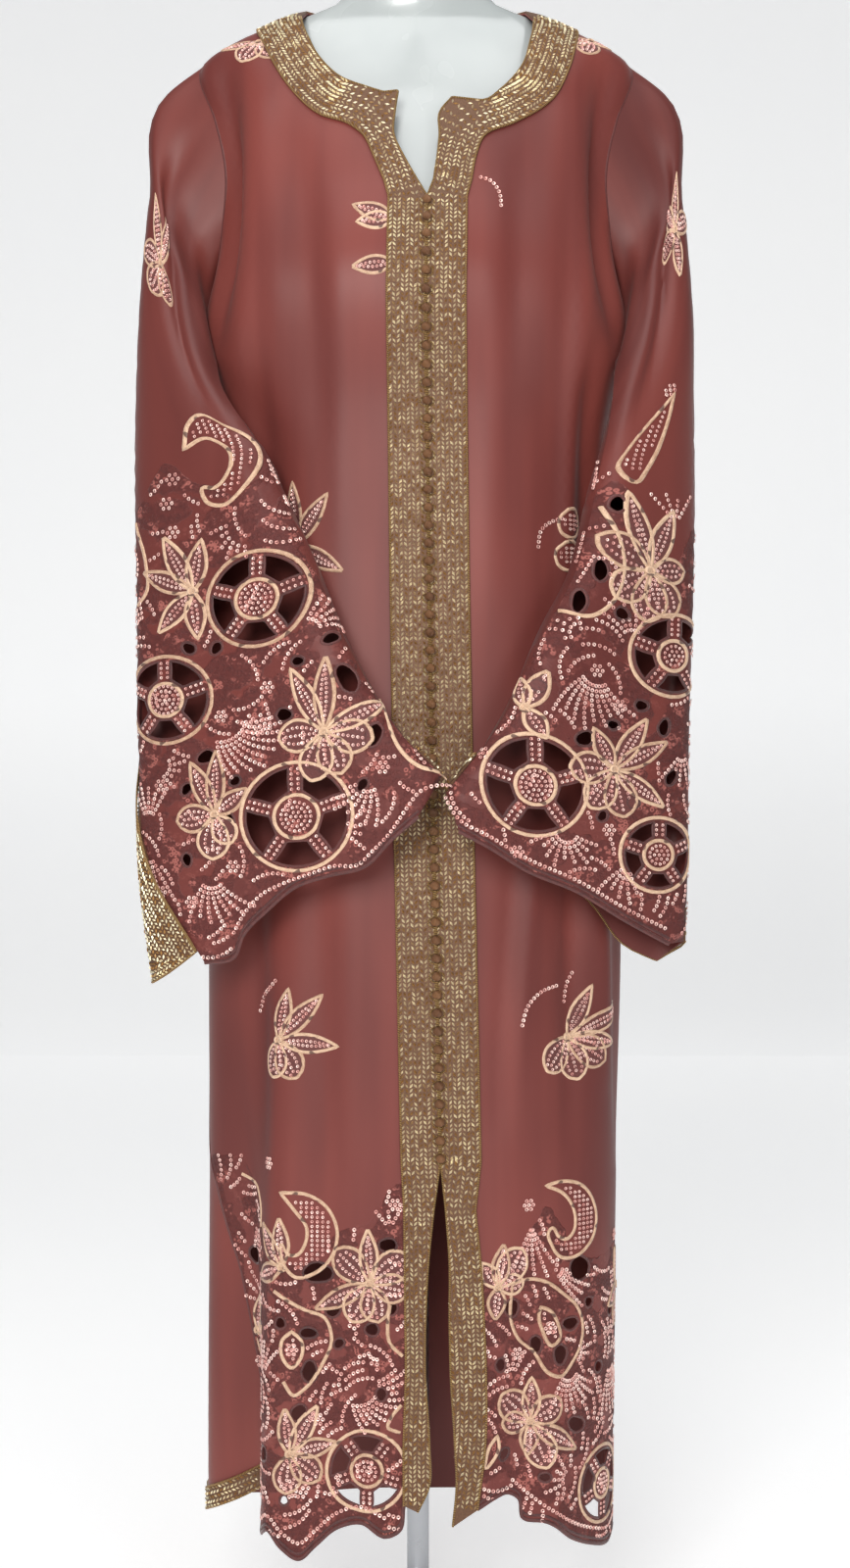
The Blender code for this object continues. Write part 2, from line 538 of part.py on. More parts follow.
def net(outline, holes, lines, spacing, extra=()):
    """Flat points and triangles over an outline, round its holes and along its drawn lines.

    Extra points, if any, join the filling ones where they lie clear of everything."""
    places = []
    edges = []
    for loop in [outline] + holes:
        first = len(places)
        places += [tuple(p) for p in loop]
        edges += [(first + i, first + (i + 1) % len(loop)) for i in range(len(loop))]
    for line in lines:
        first = len(places)
        places += [tuple(p) for p in line]
        edges += [(first + i, first + i + 1) for i in range(len(line) - 1)]
    starts = np.array([places[a] for a, _ in edges])
    ends = np.array([places[b] for _, b in edges])
    low = np.min(outline, axis=0)
    high = np.max(outline, axis=0)
    fill = []
    for row, y in enumerate(np.arange(low[1] + spacing[1] / 2, high[1], spacing[1])):
        shift = spacing[0] / 2 if row % 2 else 0.0
        fill += [(x, y) for x in np.arange(low[0] + shift, high[0], spacing[0])]
    fill = np.array(fill)
    keep = inside(fill, outline) & (distance(fill, starts, ends) > 0.48 * min(spacing))
    if len(extra):
        keep &= np.array([np.hypot(*(np.array(extra) - p).T).min() for p in fill]) > spacing[0] / 2
        more = np.array(extra)
        clear = inside(more, outline) & (distance(more, starts, ends) > EXTRA_CLEAR)
        fill = np.concatenate((fill, more))
        keep = np.concatenate((keep, clear))
    for hole in holes:
        keep &= ~inside(fill, hole)
    places += [tuple(p) for p in fill[keep]]
    found = delaunay_2d_cdt([Vector(p) for p in places], edges, [], 0, 1e-6, False)
    flat = np.array([tuple(p) for p in found[0]])
    tris = np.array([face for face in found[2]])
    middles = flat[tris].mean(axis=1)
    first, second = flat[tris[:, 1]] - flat[tris[:, 0]], flat[tris[:, 2]] - flat[tris[:, 0]]
    area = (first[:, 0] * second[:, 1] - first[:, 1] * second[:, 0]) / 2
    keep = inside(middles, outline) & (area > 1e-8)
    for hole in holes:
        keep &= ~inside(middles, hole)
    return flat, tris[keep]


def tidy(flat, tris):
    """The same net without points that no triangle uses."""
    used = np.unique(tris)
    index = np.full(len(flat), -1)
    index[used] = np.arange(len(used))
    return flat[used], index[tris]


def region(flat, tris, loop):
    """The part of a net whose triangles lie inside a loop."""
    return tidy(flat, tris[inside(flat[tris].mean(axis=1), loop)])


def shell(name, flat, tris, lift, turn, out, wall, look):
    """A closed wall over a lifted net: its outer face stands out by `out`, its inner by `wall` less."""
    place, normal = lift(flat)
    count = len(flat)
    corners = np.concatenate((place + normal * out, place + normal * (out - wall)))
    if turn < 0:
        tris = tris[:, ::-1]
    faces = []
    edges = set()
    for a, b, c in tris:
        edges.update(((a, b), (b, c), (c, a)))
        faces.append((a, b, c))
        faces.append((count + c, count + b, count + a))
    for a, b in edges:
        if (b, a) not in edges:
            faces.append((b, a, count + a))
            faces.append((b, count + a, count + b))
    return add_mesh(name, corners, sorted(tuple(int(i) for i in face) for face in faces), look)


def braid_shell(name, flat, tris, band, lift, turn):
    """A gold braid over a band of a panel's own net."""
    flat, tris = region(flat, tris, band)
    return shell(name, flat, tris, lift, turn, LIFT + BRAID, BRAID, material(name, GOLD, 0.45, 0.5))


def add_mesh(name, corners, faces, look):
    mesh = bpy.data.meshes.new(name)
    mesh.from_pydata([tuple(float(c) for c in corner) for corner in corners], [], faces)
    mesh.materials.append(look)
    mesh.validate()
    mesh.update()
    made = bpy.data.objects.new(name, mesh)
    bpy.data.collections["moroccan_kaftan"].objects.link(made)
    return made


def wheel(x, y, rim, hub, turn, spokes=5):
    """The gaps between the spokes of a cutwork wheel."""
    loops = []
    inner, outer = hub + 0.004, rim - 0.004
    for k in range(spokes):
        middle = math.radians(turn) + 2 * math.pi * (k + 0.5) / spokes
        wide = math.pi / spokes - 0.0055 / outer
        narrow = math.pi / spokes - 0.0055 / inner
        turns = [(outer, -wide), (outer, -wide / 3), (outer, wide / 3), (outer, wide),
                 (inner, max(narrow, 0.08)), (inner, -max(narrow, 0.08))]
        loops.append([(x + r * math.cos(middle + a), y + r * math.sin(middle + a))
                      for r, a in turns])
    return loops


def gap(x, y, long, wide, turn, corners=6):
    """One pointed gap in the cutwork."""
    turn = math.radians(turn)
    loop = []
    for k in range(corners):
        angle = 2 * math.pi * k / corners
        u = long / 2 * math.cos(angle)
        v = wide / 2 * math.sin(angle) * 1.15
        loop.append((x + u * math.cos(turn) - v * math.sin(turn),
                     y + u * math.sin(turn) + v * math.cos(turn)))
    return loop


def cutwork(wheels, gaps, outline, lines, clear=0.0035):
    """All the holes that keep clear of the outline, of the drawn lines and of each other."""
    loops = []
    for row in wheels:
        loops += wheel(*row)
    for row in gaps:
        loops.append(gap(*row))
    walls = [np.array(outline), np.roll(np.array(outline), -1, axis=0)]
    for line in lines:
        walls[0] = np.concatenate((walls[0], np.array(line[:-1])))
        walls[1] = np.concatenate((walls[1], np.array(line[1:])))
    kept = []
    for loop in loops:
        points = np.array(loop)
        if not inside(points, outline).all() or distance(points, *walls).min() < clear:
            continue
        kept.append(loop)
        walls[0] = np.concatenate((walls[0], points))
        walls[1] = np.concatenate((walls[1], np.roll(points, -1, axis=0)))
    return kept


def seam_q(body, h, side):
    """How far round the front reaches at a height, to its side or shoulder seam."""
    q = body.side(h, side)
    if side < 0:
        keys = [row[0] for row in LEFT_SEAM]
        q = np.where(h < keys[-1], np.interp(h, keys, [row[1] for row in LEFT_SEAM]), q)
    return q


SEAM_HEIGHTS = (0.230, 0.270, 0.310, 0.350, 0.390, 0.430, 0.470, 0.515, 0.560, 0.620, 0.680,
                0.740, 0.800, 0.860, 0.920, 0.980, 1.040, 1.100, 1.160, 1.220, 1.280, 1.315)
SHOULDER_HEIGHTS = (1.632, 1.656, COLLAR_END, 1.702, NECK_H)


def buttoned_rows():
    """Heights and distances of the rows where the two fronts are buttoned together."""
    h = np.linspace(BUTTONED[0][0], BUTTONED[-1][0], BUTTONED_ROWS)
    q = np.interp(h, [row[0] for row in BUTTONED], [row[1] for row in BUTTONED])
    return h, q


def front_piece(body, side):
    """One front drawn flat: its outline, the line inside its braid, its holes and its braid."""
    h, q = buttoned_rows()
    edge = [(x, y) for y, x in SLIT[side]]
    edge += [(x + side * SEAM / 2, y) for x, y in zip(q, h)]
    edge += [(x, y) for y, x in NECK_SLIT[side]]
    braid = list(BRAID_EDGE[side])
    braid += [(x + side * BRAID_WIDTH[side], y) for x, y in zip(q, h)]
    braid += list(COLLAR_EDGE[side])
    back_off = -side * SEAM / 2
    collar_end = (float(seam_q(body, COLLAR_END, side)) + back_off, COLLAR_END)
    hem = list(FRONT_HEM[side])
    braid = [hem[0]] + braid + [collar_end]
    up_side = [(float(seam_q(body, y, side)) + back_off, y) for y in SEAM_HEIGHTS]
    hole = armhole(body, side, inset=SEAM / 2)[0][::-1]
    hole = [(float(x), float(y)) for x, y in hole]
    shoulder = [(float(seam_q(body, y, side)) + back_off, y) for y in SHOULDER_HEIGHTS]
    neck = list(NECKLINE[side])
    outline = edge[::-1] + hem + up_side + hole + shoulder + neck[::-1]
    inner = edge + neck + [shoulder[-1]]
    band = inner + [shoulder[-2]] + braid[::-1]
    holes = cutwork(HEM_WHEELS[side], HEM_GAPS[side], outline, [braid])
    return outline, braid, holes, band


def back_piece(body):
    """The back drawn flat: its outline, the lines inside its braids, and its braids' outlines."""
    def edge(y, side):
        return side * (float(body.half_round(y, side)) - abs(float(seam_q(body, y, side)))
                       - SEAM / 2)
    right = [(edge(y, 1), y) for y in SEAM_HEIGHTS]
    left = [(edge(y, -1), y) for y in SEAM_HEIGHTS]
    hem = [(edge(0.186, -1), 0.186)] + [row for row in BACK_HEM[1:-1]] + [(edge(0.132, 1), 0.132)]
    rise = [(edge(0.186 + BACK_HEM_BRAID, -1), 0.186 + BACK_HEM_BRAID)]
    rise += [(x, y + BACK_HEM_BRAID) for x, y in hem[1:-1]]
    rise += [(edge(0.132 + BACK_HEM_BRAID, 1), 0.132 + BACK_HEM_BRAID)]
    corner_right = [(edge(y, 1), y) for y in (0.190,)]
    holes = {side: [(float(x), float(y)) for x, y in armhole(body, side, inset=SEAM / 2)[1]]
             for side in (-1, 1)}
    tops = {side: [(edge(y, side), y) for y in SHOULDER_HEIGHTS] for side in (-1, 1)}
    neck = list(BACK_NECK)
    outline = (hem + [rise[-1]] + corner_right + right + holes[1][::-1] + tops[1] + neck[::-1]
               + tops[-1][::-1] + holes[-1] + left[::-1] + [rise[0]])
    collar = [tops[-1][2]] + list(BACK_COLLAR) + [tops[1][2]]
    hem_band = hem + rise[::-1]
    neck_band = collar + tops[1][3:] + neck[::-1] + tops[-1][:2:-1]
    return outline, rise, collar, hem_band, neck_band


def sleeve_flat(sleeve, v, share):
    """Flat place on a sleeve from the station along it and the share across it."""
    rows = np.arange(len(sleeve.outer)) / sleeve.along
    outer = np.array([np.interp(v, rows, sleeve.outer[:, k]) for k in (0, 1)])
    inner = np.array([np.interp(v, rows, sleeve.inner[:, k]) for k in (0, 1)])
    place = outer + (inner - outer) * share
    return (float(place[0]), float(place[1]))


def armhole_shares(body, side, back):
    """How far the armhole's points lie along it, as shares of its length."""
    flat = armhole(body, side)[1 if back else 0]
    along = lengths((body.back(flat) if back else body.front(flat))[0])
    return np.clip(along / along[-1], EDGE_SHARE, 1 - EDGE_SHARE)


SLEEVE_STEPS = (0.5, 1.0, 1.4, 1.8, 2.2, 2.6, 3.0, 3.4, 3.8, 4.2, 4.6, 5.0, 5.5, 6.0, 6.5, 7.0,
                7.5)
EDGE_SHARE = 0.0008
EXTRA_CLEAR = 0.0045
ROUND_SHARES = (0.07, 0.93)
ARMPIT_SHARES = (0.74, 0.84)
ARMPIT_STEPS = (1.0, 1.4, 1.8, 2.2, 2.6, 3.0, 3.4)


def round_points(sleeve):
    """Flat points along both edges of a sleeve, where its flattened tube turns round."""
    points = [sleeve_flat(sleeve, v, s) for s in ROUND_SHARES for v in SLEEVE_STEPS[1:]]
    return points + [sleeve_flat(sleeve, v, s) for s in ARMPIT_SHARES for v in ARMPIT_STEPS]


def sleeve_front_piece(body, sleeve):
    """The front half of a sleeve drawn flat, and its holes."""
    side = sleeve.side
    top = [sleeve_flat(sleeve, 0, s) for s in armhole_shares(body, side, False)]
    inner = [sleeve_flat(sleeve, v, 1 - EDGE_SHARE) for v in SLEEVE_STEPS[1:] + (CUFF_TIP[side],)]
    outer = [sleeve_flat(sleeve, v, EDGE_SHARE) for v in SLEEVE_STEPS if v < CUFF_OUTER[side]]
    outer.append(sleeve_flat(sleeve, CUFF_OUTER[side], EDGE_SHARE))
    wedge = [sleeve_flat(sleeve, v, -s + EDGE_SHARE) for v, s in WEDGE[side]]
    outline = top + inner + list(CUFF[side]) + wedge + outer[::-1]
    return outline, cutwork(SLEEVE_WHEELS[side], SLEEVE_GAPS[side], outline, [])


def sleeve_back_piece(body, sleeve):
    """The back half of a sleeve drawn flat, the line above its braid, and the braid's outline."""
    side = sleeve.side
    top = [sleeve_flat(sleeve, 0, s) for s in armhole_shares(body, side, True)]
    inner = [sleeve_flat(sleeve, v, 1 - EDGE_SHARE) for v in SLEEVE_STEPS[1:]]
    tip = sleeve_flat(sleeve, CUFF_TIP[side] - 0.05, 1 - EDGE_SHARE)
    hem = [tip] + [sleeve_flat(sleeve, v, s) for v, s in BACK_CUFF[side]]
    rise = [inner[-1]]
    rise += [sleeve_flat(sleeve, v - CUFF_BRAID, s) for v, s in BACK_CUFF[side]]
    outer = [sleeve_flat(sleeve, v, EDGE_SHARE) for v in SLEEVE_STEPS if v <= CUFF_OUTER[side]]
    if side < 0:
        rise[-1] = sleeve_flat(sleeve, *WEDGE[side][0])
        wedge = [sleeve_flat(sleeve, v, s) for v, s in WEDGE[side]]
    else:
        end = sleeve_flat(sleeve, CUFF_OUTER[side], EDGE_SHARE)
        rise.append(outer[-1])
        hem.append(end)
        wedge = []
    outline = top + inner + hem + wedge + outer[::-1]
    edge = [sleeve_flat(sleeve, v, 0.0) for v in WEDGE_FOLD] if side < 0 else []
    return outline, [rise, edge], hem + rise[::-1]


def rings_mesh(name, rings, sides, look):
    """A closed body through rings, capped flat at both ends."""
    corners = []
    for z, wide, front, back, power in rings:
        for k in range(sides):
            angle = 2 * math.pi * k / sides
            s, c = math.sin(angle), math.cos(angle)
            depth = front if c > 0 else back
            corners.append((wide * math.copysign(abs(s) ** (2 / power), s),
                            -depth * math.copysign(abs(c) ** (2 / power), c), z))
    faces = []
    for j in range(len(rings) - 1):
        for k in range(sides):
            a, b = j * sides + k, j * sides + (k + 1) % sides
            faces.append((a, b, b + sides, a + sides))
    low, high = len(corners), len(corners) + 1
    corners += [(0, 0, rings[0][0]), (0, 0, rings[-1][0])]
    last = (len(rings) - 1) * sides
    for k in range(sides):
        faces.append((low, (k + 1) % sides, k))
        faces.append((high, last + k, last + (k + 1) % sides))
    return add_mesh(name, corners, faces, look)


def form_torso(body):
    """The limbless form: neck, shoulders, bust, waist and hips; the cloth rests on its shoulders."""
    keys = [row[0] for row in FORM_RINGS]
    heights = np.linspace(keys[0], keys[-1], 17)
    shapes = spline(keys, [row[1:] for row in FORM_RINGS], heights)
    rings = [(z, *shape) for z, shape in zip(heights, shapes)]
    shoulder = np.array(SHOULDER_HEIGHTS[:-1])
    edge = np.column_stack((body.side(shoulder, 1), shoulder))
    place, out = body.front(edge)
    place = place - out * (CLOTH + FORM_UNDER)
    keys = [row[0] for row in BODY_RINGS]
    depths = spline(keys, [row[3:5] for row in BODY_RINGS], shoulder) * FORM_SLIM
    for (x, _, z), (front, back) in zip(place, depths):
        rings.append((z, x, front, back, FORM_RIDGE))
    rings += list(FORM_NECK)
    return rings_mesh("form_torso", rings, 28, material("form_plastic", FORM_WHITE, 0.30))


def add_cylinder(name, radius, low, high, place, look, sides=24):
    bpy.ops.mesh.primitive_cylinder_add(vertices=sides, radius=radius, depth=high - low,
                                        location=(place[0], place[1], (low + high) / 2))
    made = bpy.context.object
    made.name = name
    made.data.name = name
    made.data.materials.append(look)
    for old in list(made.users_collection):
        old.objects.unlink(made)
    bpy.data.collections["moroccan_kaftan"].objects.link(made)
    return made


def button_row(body, look):
    """The row of knotted buttons on its cord, lying on the meeting edges of the two braids."""
    h, q = buttoned_rows()
    low, high = h[0] + 0.004, h[-1] - 0.006
    pitch = (high - low) / (BUTTON_COUNT - 1)
    profile = ((-0.0042, CORD_RADIUS), (-0.0017, BUTTON_RADIUS), (0.0017, BUTTON_RADIUS),
               (0.0042, CORD_RADIUS))
    rows = np.column_stack((q, h))
    place, normal = body.front(rows)
    stand = LIFT + BRAID - 0.00002
    corners = []
    for n in range(BUTTON_COUNT):
        for shift, radius in profile:
            y = low + n * pitch + shift
            y = min(max(y, h[0]), h[-1])
            spot = np.array([np.interp(y, h, place[:, k]) for k in range(3)])
            out = np.array([np.interp(y, h, normal[:, k]) for k in range(3)])
            out /= np.linalg.norm(out)
            across = np.cross(out, (0, 0, 1))
            across /= np.linalg.norm(across)
            middle = spot + out * (stand + BUTTON_RADIUS * 0.82)
            for k in range(CORD_SIDES):
                angle = 2 * math.pi * (k + 0.5) / CORD_SIDES
                corners.append(middle + radius * (math.sin(angle) * across
                                                  - math.cos(angle) * out * 0.86))
    rows_count = BUTTON_COUNT * len(profile)
    faces = []
    for j in range(rows_count - 1):
        for k in range(CORD_SIDES):
            a, b = j * CORD_SIDES + k, j * CORD_SIDES + (k + 1) % CORD_SIDES
            faces.append((a, b, b + CORD_SIDES, a + CORD_SIDES))
    faces.append(tuple(range(CORD_SIDES))[::-1])
    last = (rows_count - 1) * CORD_SIDES
    faces.append(tuple(last + k for k in range(CORD_SIDES)))
    return add_mesh("buttons_front", corners, faces, look)


def build():
    for old in list(bpy.data.objects):
        bpy.data.objects.remove(old, do_unlink=True)
    home = bpy.data.collections.new("moroccan_kaftan")
    bpy.context.scene.collection.children.link(home)
    body = Body(BODY_FOLDS)
    for side, word in ((-1, "left"), (1, "right")):
        outline, braid, holes, band = front_piece(body, side)
        flat, tris = tidy(*net(outline, holes, [braid], FRONT_NET))
        shell(f"front_{word}", flat, tris, body.front, 1, 0.0, CLOTH,
              material(f"satin_front_{word}", SATIN, 0.42))
        braid_shell(f"braid_front_{word}", flat, tris, band, body.front, 1)
    outline, rise, collar, hem_band, neck_band = back_piece(body)
    flat, tris = tidy(*net(outline, [], [rise, collar], BACK_NET))
    shell("back", flat, tris, body.back, -1, 0.0, CLOTH, material("satin_back", SATIN_DARK, 0.42))
    braid_shell("braid_back_hem", flat, tris, hem_band, body.back, -1)
    braid_shell("braid_back_neck", flat, tris, neck_band, body.back, -1)
    for side, word, sections, head in ((-1, "left", LEFT_SLEEVE, LEFT_HEAD),
                                       (1, "right", RIGHT_SLEEVE, RIGHT_HEAD)):
        sleeve = Sleeve(body, side, sections, head)
        outline, holes = sleeve_front_piece(body, sleeve)
        flat, tris = tidy(*net(outline, holes, [], FRONT_NET, round_points(sleeve)))
        shell(f"sleeve_{word}_front", flat, tris, sleeve.front(), 1, 0.0, CLOTH,
              material(f"satin_sleeve_{word}_front", SATIN, 0.42))
        outline, lines, band = sleeve_back_piece(body, sleeve)
        flat, tris = tidy(*net(outline, [], lines, SLEEVE_NET, round_points(sleeve)))
        lift = sleeve.back()
        shell(f"sleeve_{word}_back", flat, tris, lift, -1, 0.0, CLOTH,
              material(f"satin_sleeve_{word}_back", SATIN_DARK, 0.42))
        braid_shell(f"braid_cuff_{word}", flat, tris, band, lift, -1)
    button_row(body, material("button_cord", GOLD, 0.6))
    form_torso(body)
    steel = material("stand_steel", STEEL, 0.3, 1.0)
    add_cylinder("stand_base", BASE_RADIUS, 0.0, BASE_HEIGHT, (POLE_X, 0.0), steel, 64)
    add_cylinder("stand_pole", POLE_RADIUS, BASE_HEIGHT + LIFT, FORM_RINGS[0][0] - LIFT,
                 (POLE_X, 0.0), steel)


build()
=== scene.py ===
"""The looks of a Moroccan satin kaftan on a limbless dress form: cloth, braid, cutwork and sequins.

Metres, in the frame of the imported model: Z is up, the front faces -Y, left and right are the
viewer's. The body cloth is drawn flat by its distance round the body and its height along the
cloth. A sleeve is drawn flat as it looks from the front.
"""
import math

import bpy
import numpy as np
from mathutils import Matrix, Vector
from mathutils.bvhtree import BVHTree
from mathutils.geometry import delaunay_2d_cdt


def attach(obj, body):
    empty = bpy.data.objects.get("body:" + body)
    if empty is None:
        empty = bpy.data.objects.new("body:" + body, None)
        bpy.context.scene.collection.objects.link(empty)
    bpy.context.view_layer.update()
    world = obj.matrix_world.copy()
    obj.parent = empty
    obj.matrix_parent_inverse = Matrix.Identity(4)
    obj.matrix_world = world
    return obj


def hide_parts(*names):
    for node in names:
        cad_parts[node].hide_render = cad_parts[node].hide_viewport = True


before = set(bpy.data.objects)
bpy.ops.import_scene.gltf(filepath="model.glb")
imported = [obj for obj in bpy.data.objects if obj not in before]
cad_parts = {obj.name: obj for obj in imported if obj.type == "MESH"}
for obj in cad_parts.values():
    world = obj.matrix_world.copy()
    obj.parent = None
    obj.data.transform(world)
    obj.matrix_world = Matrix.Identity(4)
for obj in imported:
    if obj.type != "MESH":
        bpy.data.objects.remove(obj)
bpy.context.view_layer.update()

# The stand: a round base and a pole of brushed steel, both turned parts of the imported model.
# They stay as they are and get a finish of fine turning marks and fingerprints.


class Value:
    """A socket of a finish that takes part in sums."""

    def __init__(self, finish, socket):
        self.finish = finish
        self.socket = socket

    def maths(self, operation, first, second):
        return self.finish.node("ShaderNodeMath", {"operation": operation}, {0: first, 1: second})

    def __add__(self, other):
        return self.maths("ADD", self, other)

    def __radd__(self, other):
        return self.maths("ADD", other, self)

    def __sub__(self, other):
        return self.maths("SUBTRACT", self, other)

    def __rsub__(self, other):
        return self.maths("SUBTRACT", other, self)

    def __mul__(self, other):
        return self.maths("MULTIPLY", self, other)

    def __rmul__(self, other):
        return self.maths("MULTIPLY", other, self)


class Finish:
    """A material, its shader, and the one way its nodes are added."""

    def __init__(self, name, **constants):
        self.material = bpy.data.materials.new(name)
        self.material.use_nodes = True
        self.tree = self.material.node_tree
        self.shader = self.tree.nodes["Principled BSDF"]
        for socket, value in constants.items():
            self.shader.inputs[socket.replace("_", " ")].default_value = value

    def node(self, kind, settings=(), inputs=(), output=0):
        made = self.tree.nodes.new(kind)
        for name, value in dict(settings).items():
            setattr(made, name, value)
        for name, value in dict(inputs).items():
            if isinstance(value, Value):
                self.tree.links.new(value.socket, made.inputs[name])
            else:
                made.inputs[name].default_value = value
        return Value(self, made.outputs[output])

    def feed(self, socket, value):
        self.tree.links.new(value.socket, self.shader.inputs[socket])

    def mix(self, share, first, second):
        """One colour passing into another."""
        return self.node("ShaderNodeMix", {"data_type": "RGBA"}, {0: share, 6: first, 7: second}, 2)

    def step(self, value, low, high, start=0.0, end=1.0):
        """A smooth step of a value between two levels."""
        return self.node("ShaderNodeMapRange", {"interpolation_type": "SMOOTHSTEP"},
                         {0: value, 1: low, 2: high, 3: start, 4: end})

    def noise(self, place, scale, detail=2.0):
        return self.node("ShaderNodeTexNoise", {},
                         {"Vector": place, "Scale": scale, "Detail": detail})

    def stretched(self, place, across, along, up=1.0):
        """A place with each direction scaled by itself."""
        return self.node("ShaderNodeVectorMath", {"operation": "MULTIPLY"},
                         {0: place, 1: (across, along, up)})

    def part(self, place, direction):
        """One of the three numbers of a place."""
        return self.node("ShaderNodeSeparateXYZ", {}, {0: place}, "XYZ".index(direction))

    def mapped(self, name):
        return self.node("ShaderNodeUVMap", {"uv_map": name})

    def tone(self, name):
        return self.node("ShaderNodeAttribute", {"attribute_name": name}, {}, 2)

    def bump(self, height, distance, strength=1.0):
        self.feed("Normal", self.node("ShaderNodeBump", {}, {"Height": height,
                                                             "Distance": distance,
                                                             "Strength": strength}))


def tint(red, green, blue):
    """A colour given as it looks on a screen, from 0 to 255."""
    return tuple(((c / 255 + 0.055) / 1.055) ** 2.4 if c > 10 else c / 3294
                 for c in (red, green, blue)) + (1.0,)


TURNING_MARKS = 900.0
steel = Finish("brushed_steel", Metallic=1.0, Anisotropic=0.5)
steel_place = steel.node("ShaderNodeTexCoord", {}, {}, 3)
marks = steel.noise(steel.stretched(steel_place, 30.0, 30.0, TURNING_MARKS), 1.0, 4.0)
smears = steel.noise(steel_place, 14.0, 3.0)
steel.feed("Base Color", steel.mix(smears, tint(150, 152, 156), tint(188, 190, 194)))
steel.feed("Roughness", steel.step(smears, 0.3, 0.7, 0.24, 0.42) + 0.06 * marks)
steel.bump(marks, 0.00008, 0.4)
for node_name in ("stand_base", "stand_pole"):
    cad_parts[node_name].data.materials[0] = steel.material

# The dress form: a hollow moulded torso of bluish white plastic, with a neck, shoulders, bust,
# waist and hips, and no head or limbs. It stands on the pole and the cloth hangs from its shoulders.

# Height along the cloth, real height, half width, depth to the front and to the back, squareness
BODY_RINGS = (
    (0.06, 0.06, 0.199, 0.15, 0.084, 2.6), (0.13, 0.13, 0.2, 0.15, 0.085, 2.6),
    (0.5, 0.5, 0.203, 0.15, 0.092, 2.6), (0.7, 0.7, 0.206, 0.146, 0.102, 2.5),
    (0.9, 0.9, 0.202, 0.138, 0.114, 2.4), (1.03, 1.03, 0.198, 0.129, 0.12, 2.4),
    (1.22, 1.22, 0.187, 0.123, 0.106, 2.4), (1.36, 1.36, 0.188, 0.14, 0.11, 2.4),
    (1.45, 1.45, 0.195, 0.112, 0.105, 2.4), (1.525, 1.52, 0.206, 0.088, 0.092, 2.4),
    (1.6, 1.58, 0.214, 0.066, 0.076, 2.3), (1.635, 1.597, 0.192, 0.06, 0.072, 2.2),
    (1.68, 1.617, 0.15, 0.053, 0.066, 2.2), (1.726, 1.637, 0.106, 0.047, 0.061, 2.1),
    (1.76, 1.65, 0.082, 0.043, 0.058, 2.0))
# Folds of the body cloth: distance round the body at the low and high end, the heights of the
# two ends, how far the low end stands out, and half the fold's width; each fades towards its top
BODY_FOLDS = (
    (-0.137, -0.135, 0.1, 0.84, 0.021, 0.02), (-0.19, -0.182, 0.1, 0.86, -0.034, 0.024),
    (-0.243, -0.236, 0.1, 0.8, 0.008, 0.02), (0.098, 0.134, 0.2, 0.64, -0.007, 0.017),
    (0.136, 0.166, 0.12, 0.7, 0.008, 0.022), (0.3, 0.3, 0.1, 0.9, -0.012, 0.035),
    (0.39, 0.38, 0.1, 0.85, 0.01, 0.035), (-0.33, -0.32, 0.1, 0.9, 0.012, 0.035),
    (-0.41, -0.4, 0.1, 0.85, -0.012, 0.035), (-0.15, -0.11, 1.22, 1.56, -0.005, 0.026),
    (0.15, 0.12, 1.22, 1.56, -0.005, 0.026))
# The loose cloth under the arms: middle height, half height, how far it stands out
SLACK = (1.3, 0.055, 0.026)
SHOULDER_H = 1.609
NECK_H = 1.722
COLLAR_END = 1.681
CLOTH = 0.0012
FORM_RINGS = (
    (0.868, 0.166, 0.104, 0.09, 2.2), (0.9, 0.172, 0.108, 0.098, 2.2), (1.0, 0.178, 0.108, 0.106, 2.2),
    (1.08, 0.168, 0.104, 0.1, 2.2), (1.19, 0.134, 0.092, 0.082, 2.2), (1.28, 0.144, 0.104, 0.082, 2.2),
    (1.355, 0.16, 0.12, 0.09, 2.3), (1.43, 0.17, 0.1, 0.088, 2.3), (1.5, 0.184, 0.074, 0.078, 2.3),
    (1.545, 0.192, 0.058, 0.068, 2.3))
FORM_NECK = (
    (1.64, 0.083, 0.04, 0.048, 2.0), (1.652, 0.071, 0.044, 0.047, 2.0),
    (1.672, 0.061, 0.046, 0.046, 2.0), (1.715, 0.056, 0.047, 0.045, 2.0))
FORM_UNDER = 0.0007
FORM_SLIM = 0.8
FORM_RIDGE = 1.25
FORM_SIDES = 96
SHARP = math.radians(55)
SHOULDER_HEIGHTS = (1.632, 1.656, COLLAR_END, 1.702, NECK_H)


def spline(keys, rows, wanted):
    """A smooth curve through rows at rising keys, read at the wanted keys."""
    keys = np.asarray(keys, float)
    rows = np.asarray(rows, float)
    wanted = np.clip(np.asarray(wanted, float), keys[0], keys[-1])
    steps = np.diff(keys)
    column = (-1,) + (1,) * (rows.ndim - 1)
    rise = np.diff(rows, axis=0) / steps.reshape(column)
    slope = np.empty_like(rows)
    slope[0] = rise[0]
    slope[-1] = rise[-1]
    before = steps[:-1].reshape(column)
    after = steps[1:].reshape(column)
    slope[1:-1] = (rise[:-1] * after + rise[1:] * before) / (before + after)
    i = np.clip(np.searchsorted(keys, wanted) - 1, 0, len(keys) - 2)
    span = steps[i].reshape((-1,) + (1,) * (rows.ndim - 1))
    u = ((wanted - keys[i]) / steps[i]).reshape(span.shape)
    return (rows[i] * (2 * u**3 - 3 * u**2 + 1) + slope[i] * span * (u**3 - 2 * u**2 + u)
            + rows[i + 1] * (3 * u**2 - 2 * u**3) + slope[i + 1] * span * (u**3 - u**2))


def lengths(points):
    """Distances along a line of points, from its first one."""
    steps = np.linalg.norm(np.diff(points, axis=0), axis=1)
    return np.concatenate(([0.0], np.cumsum(steps)))


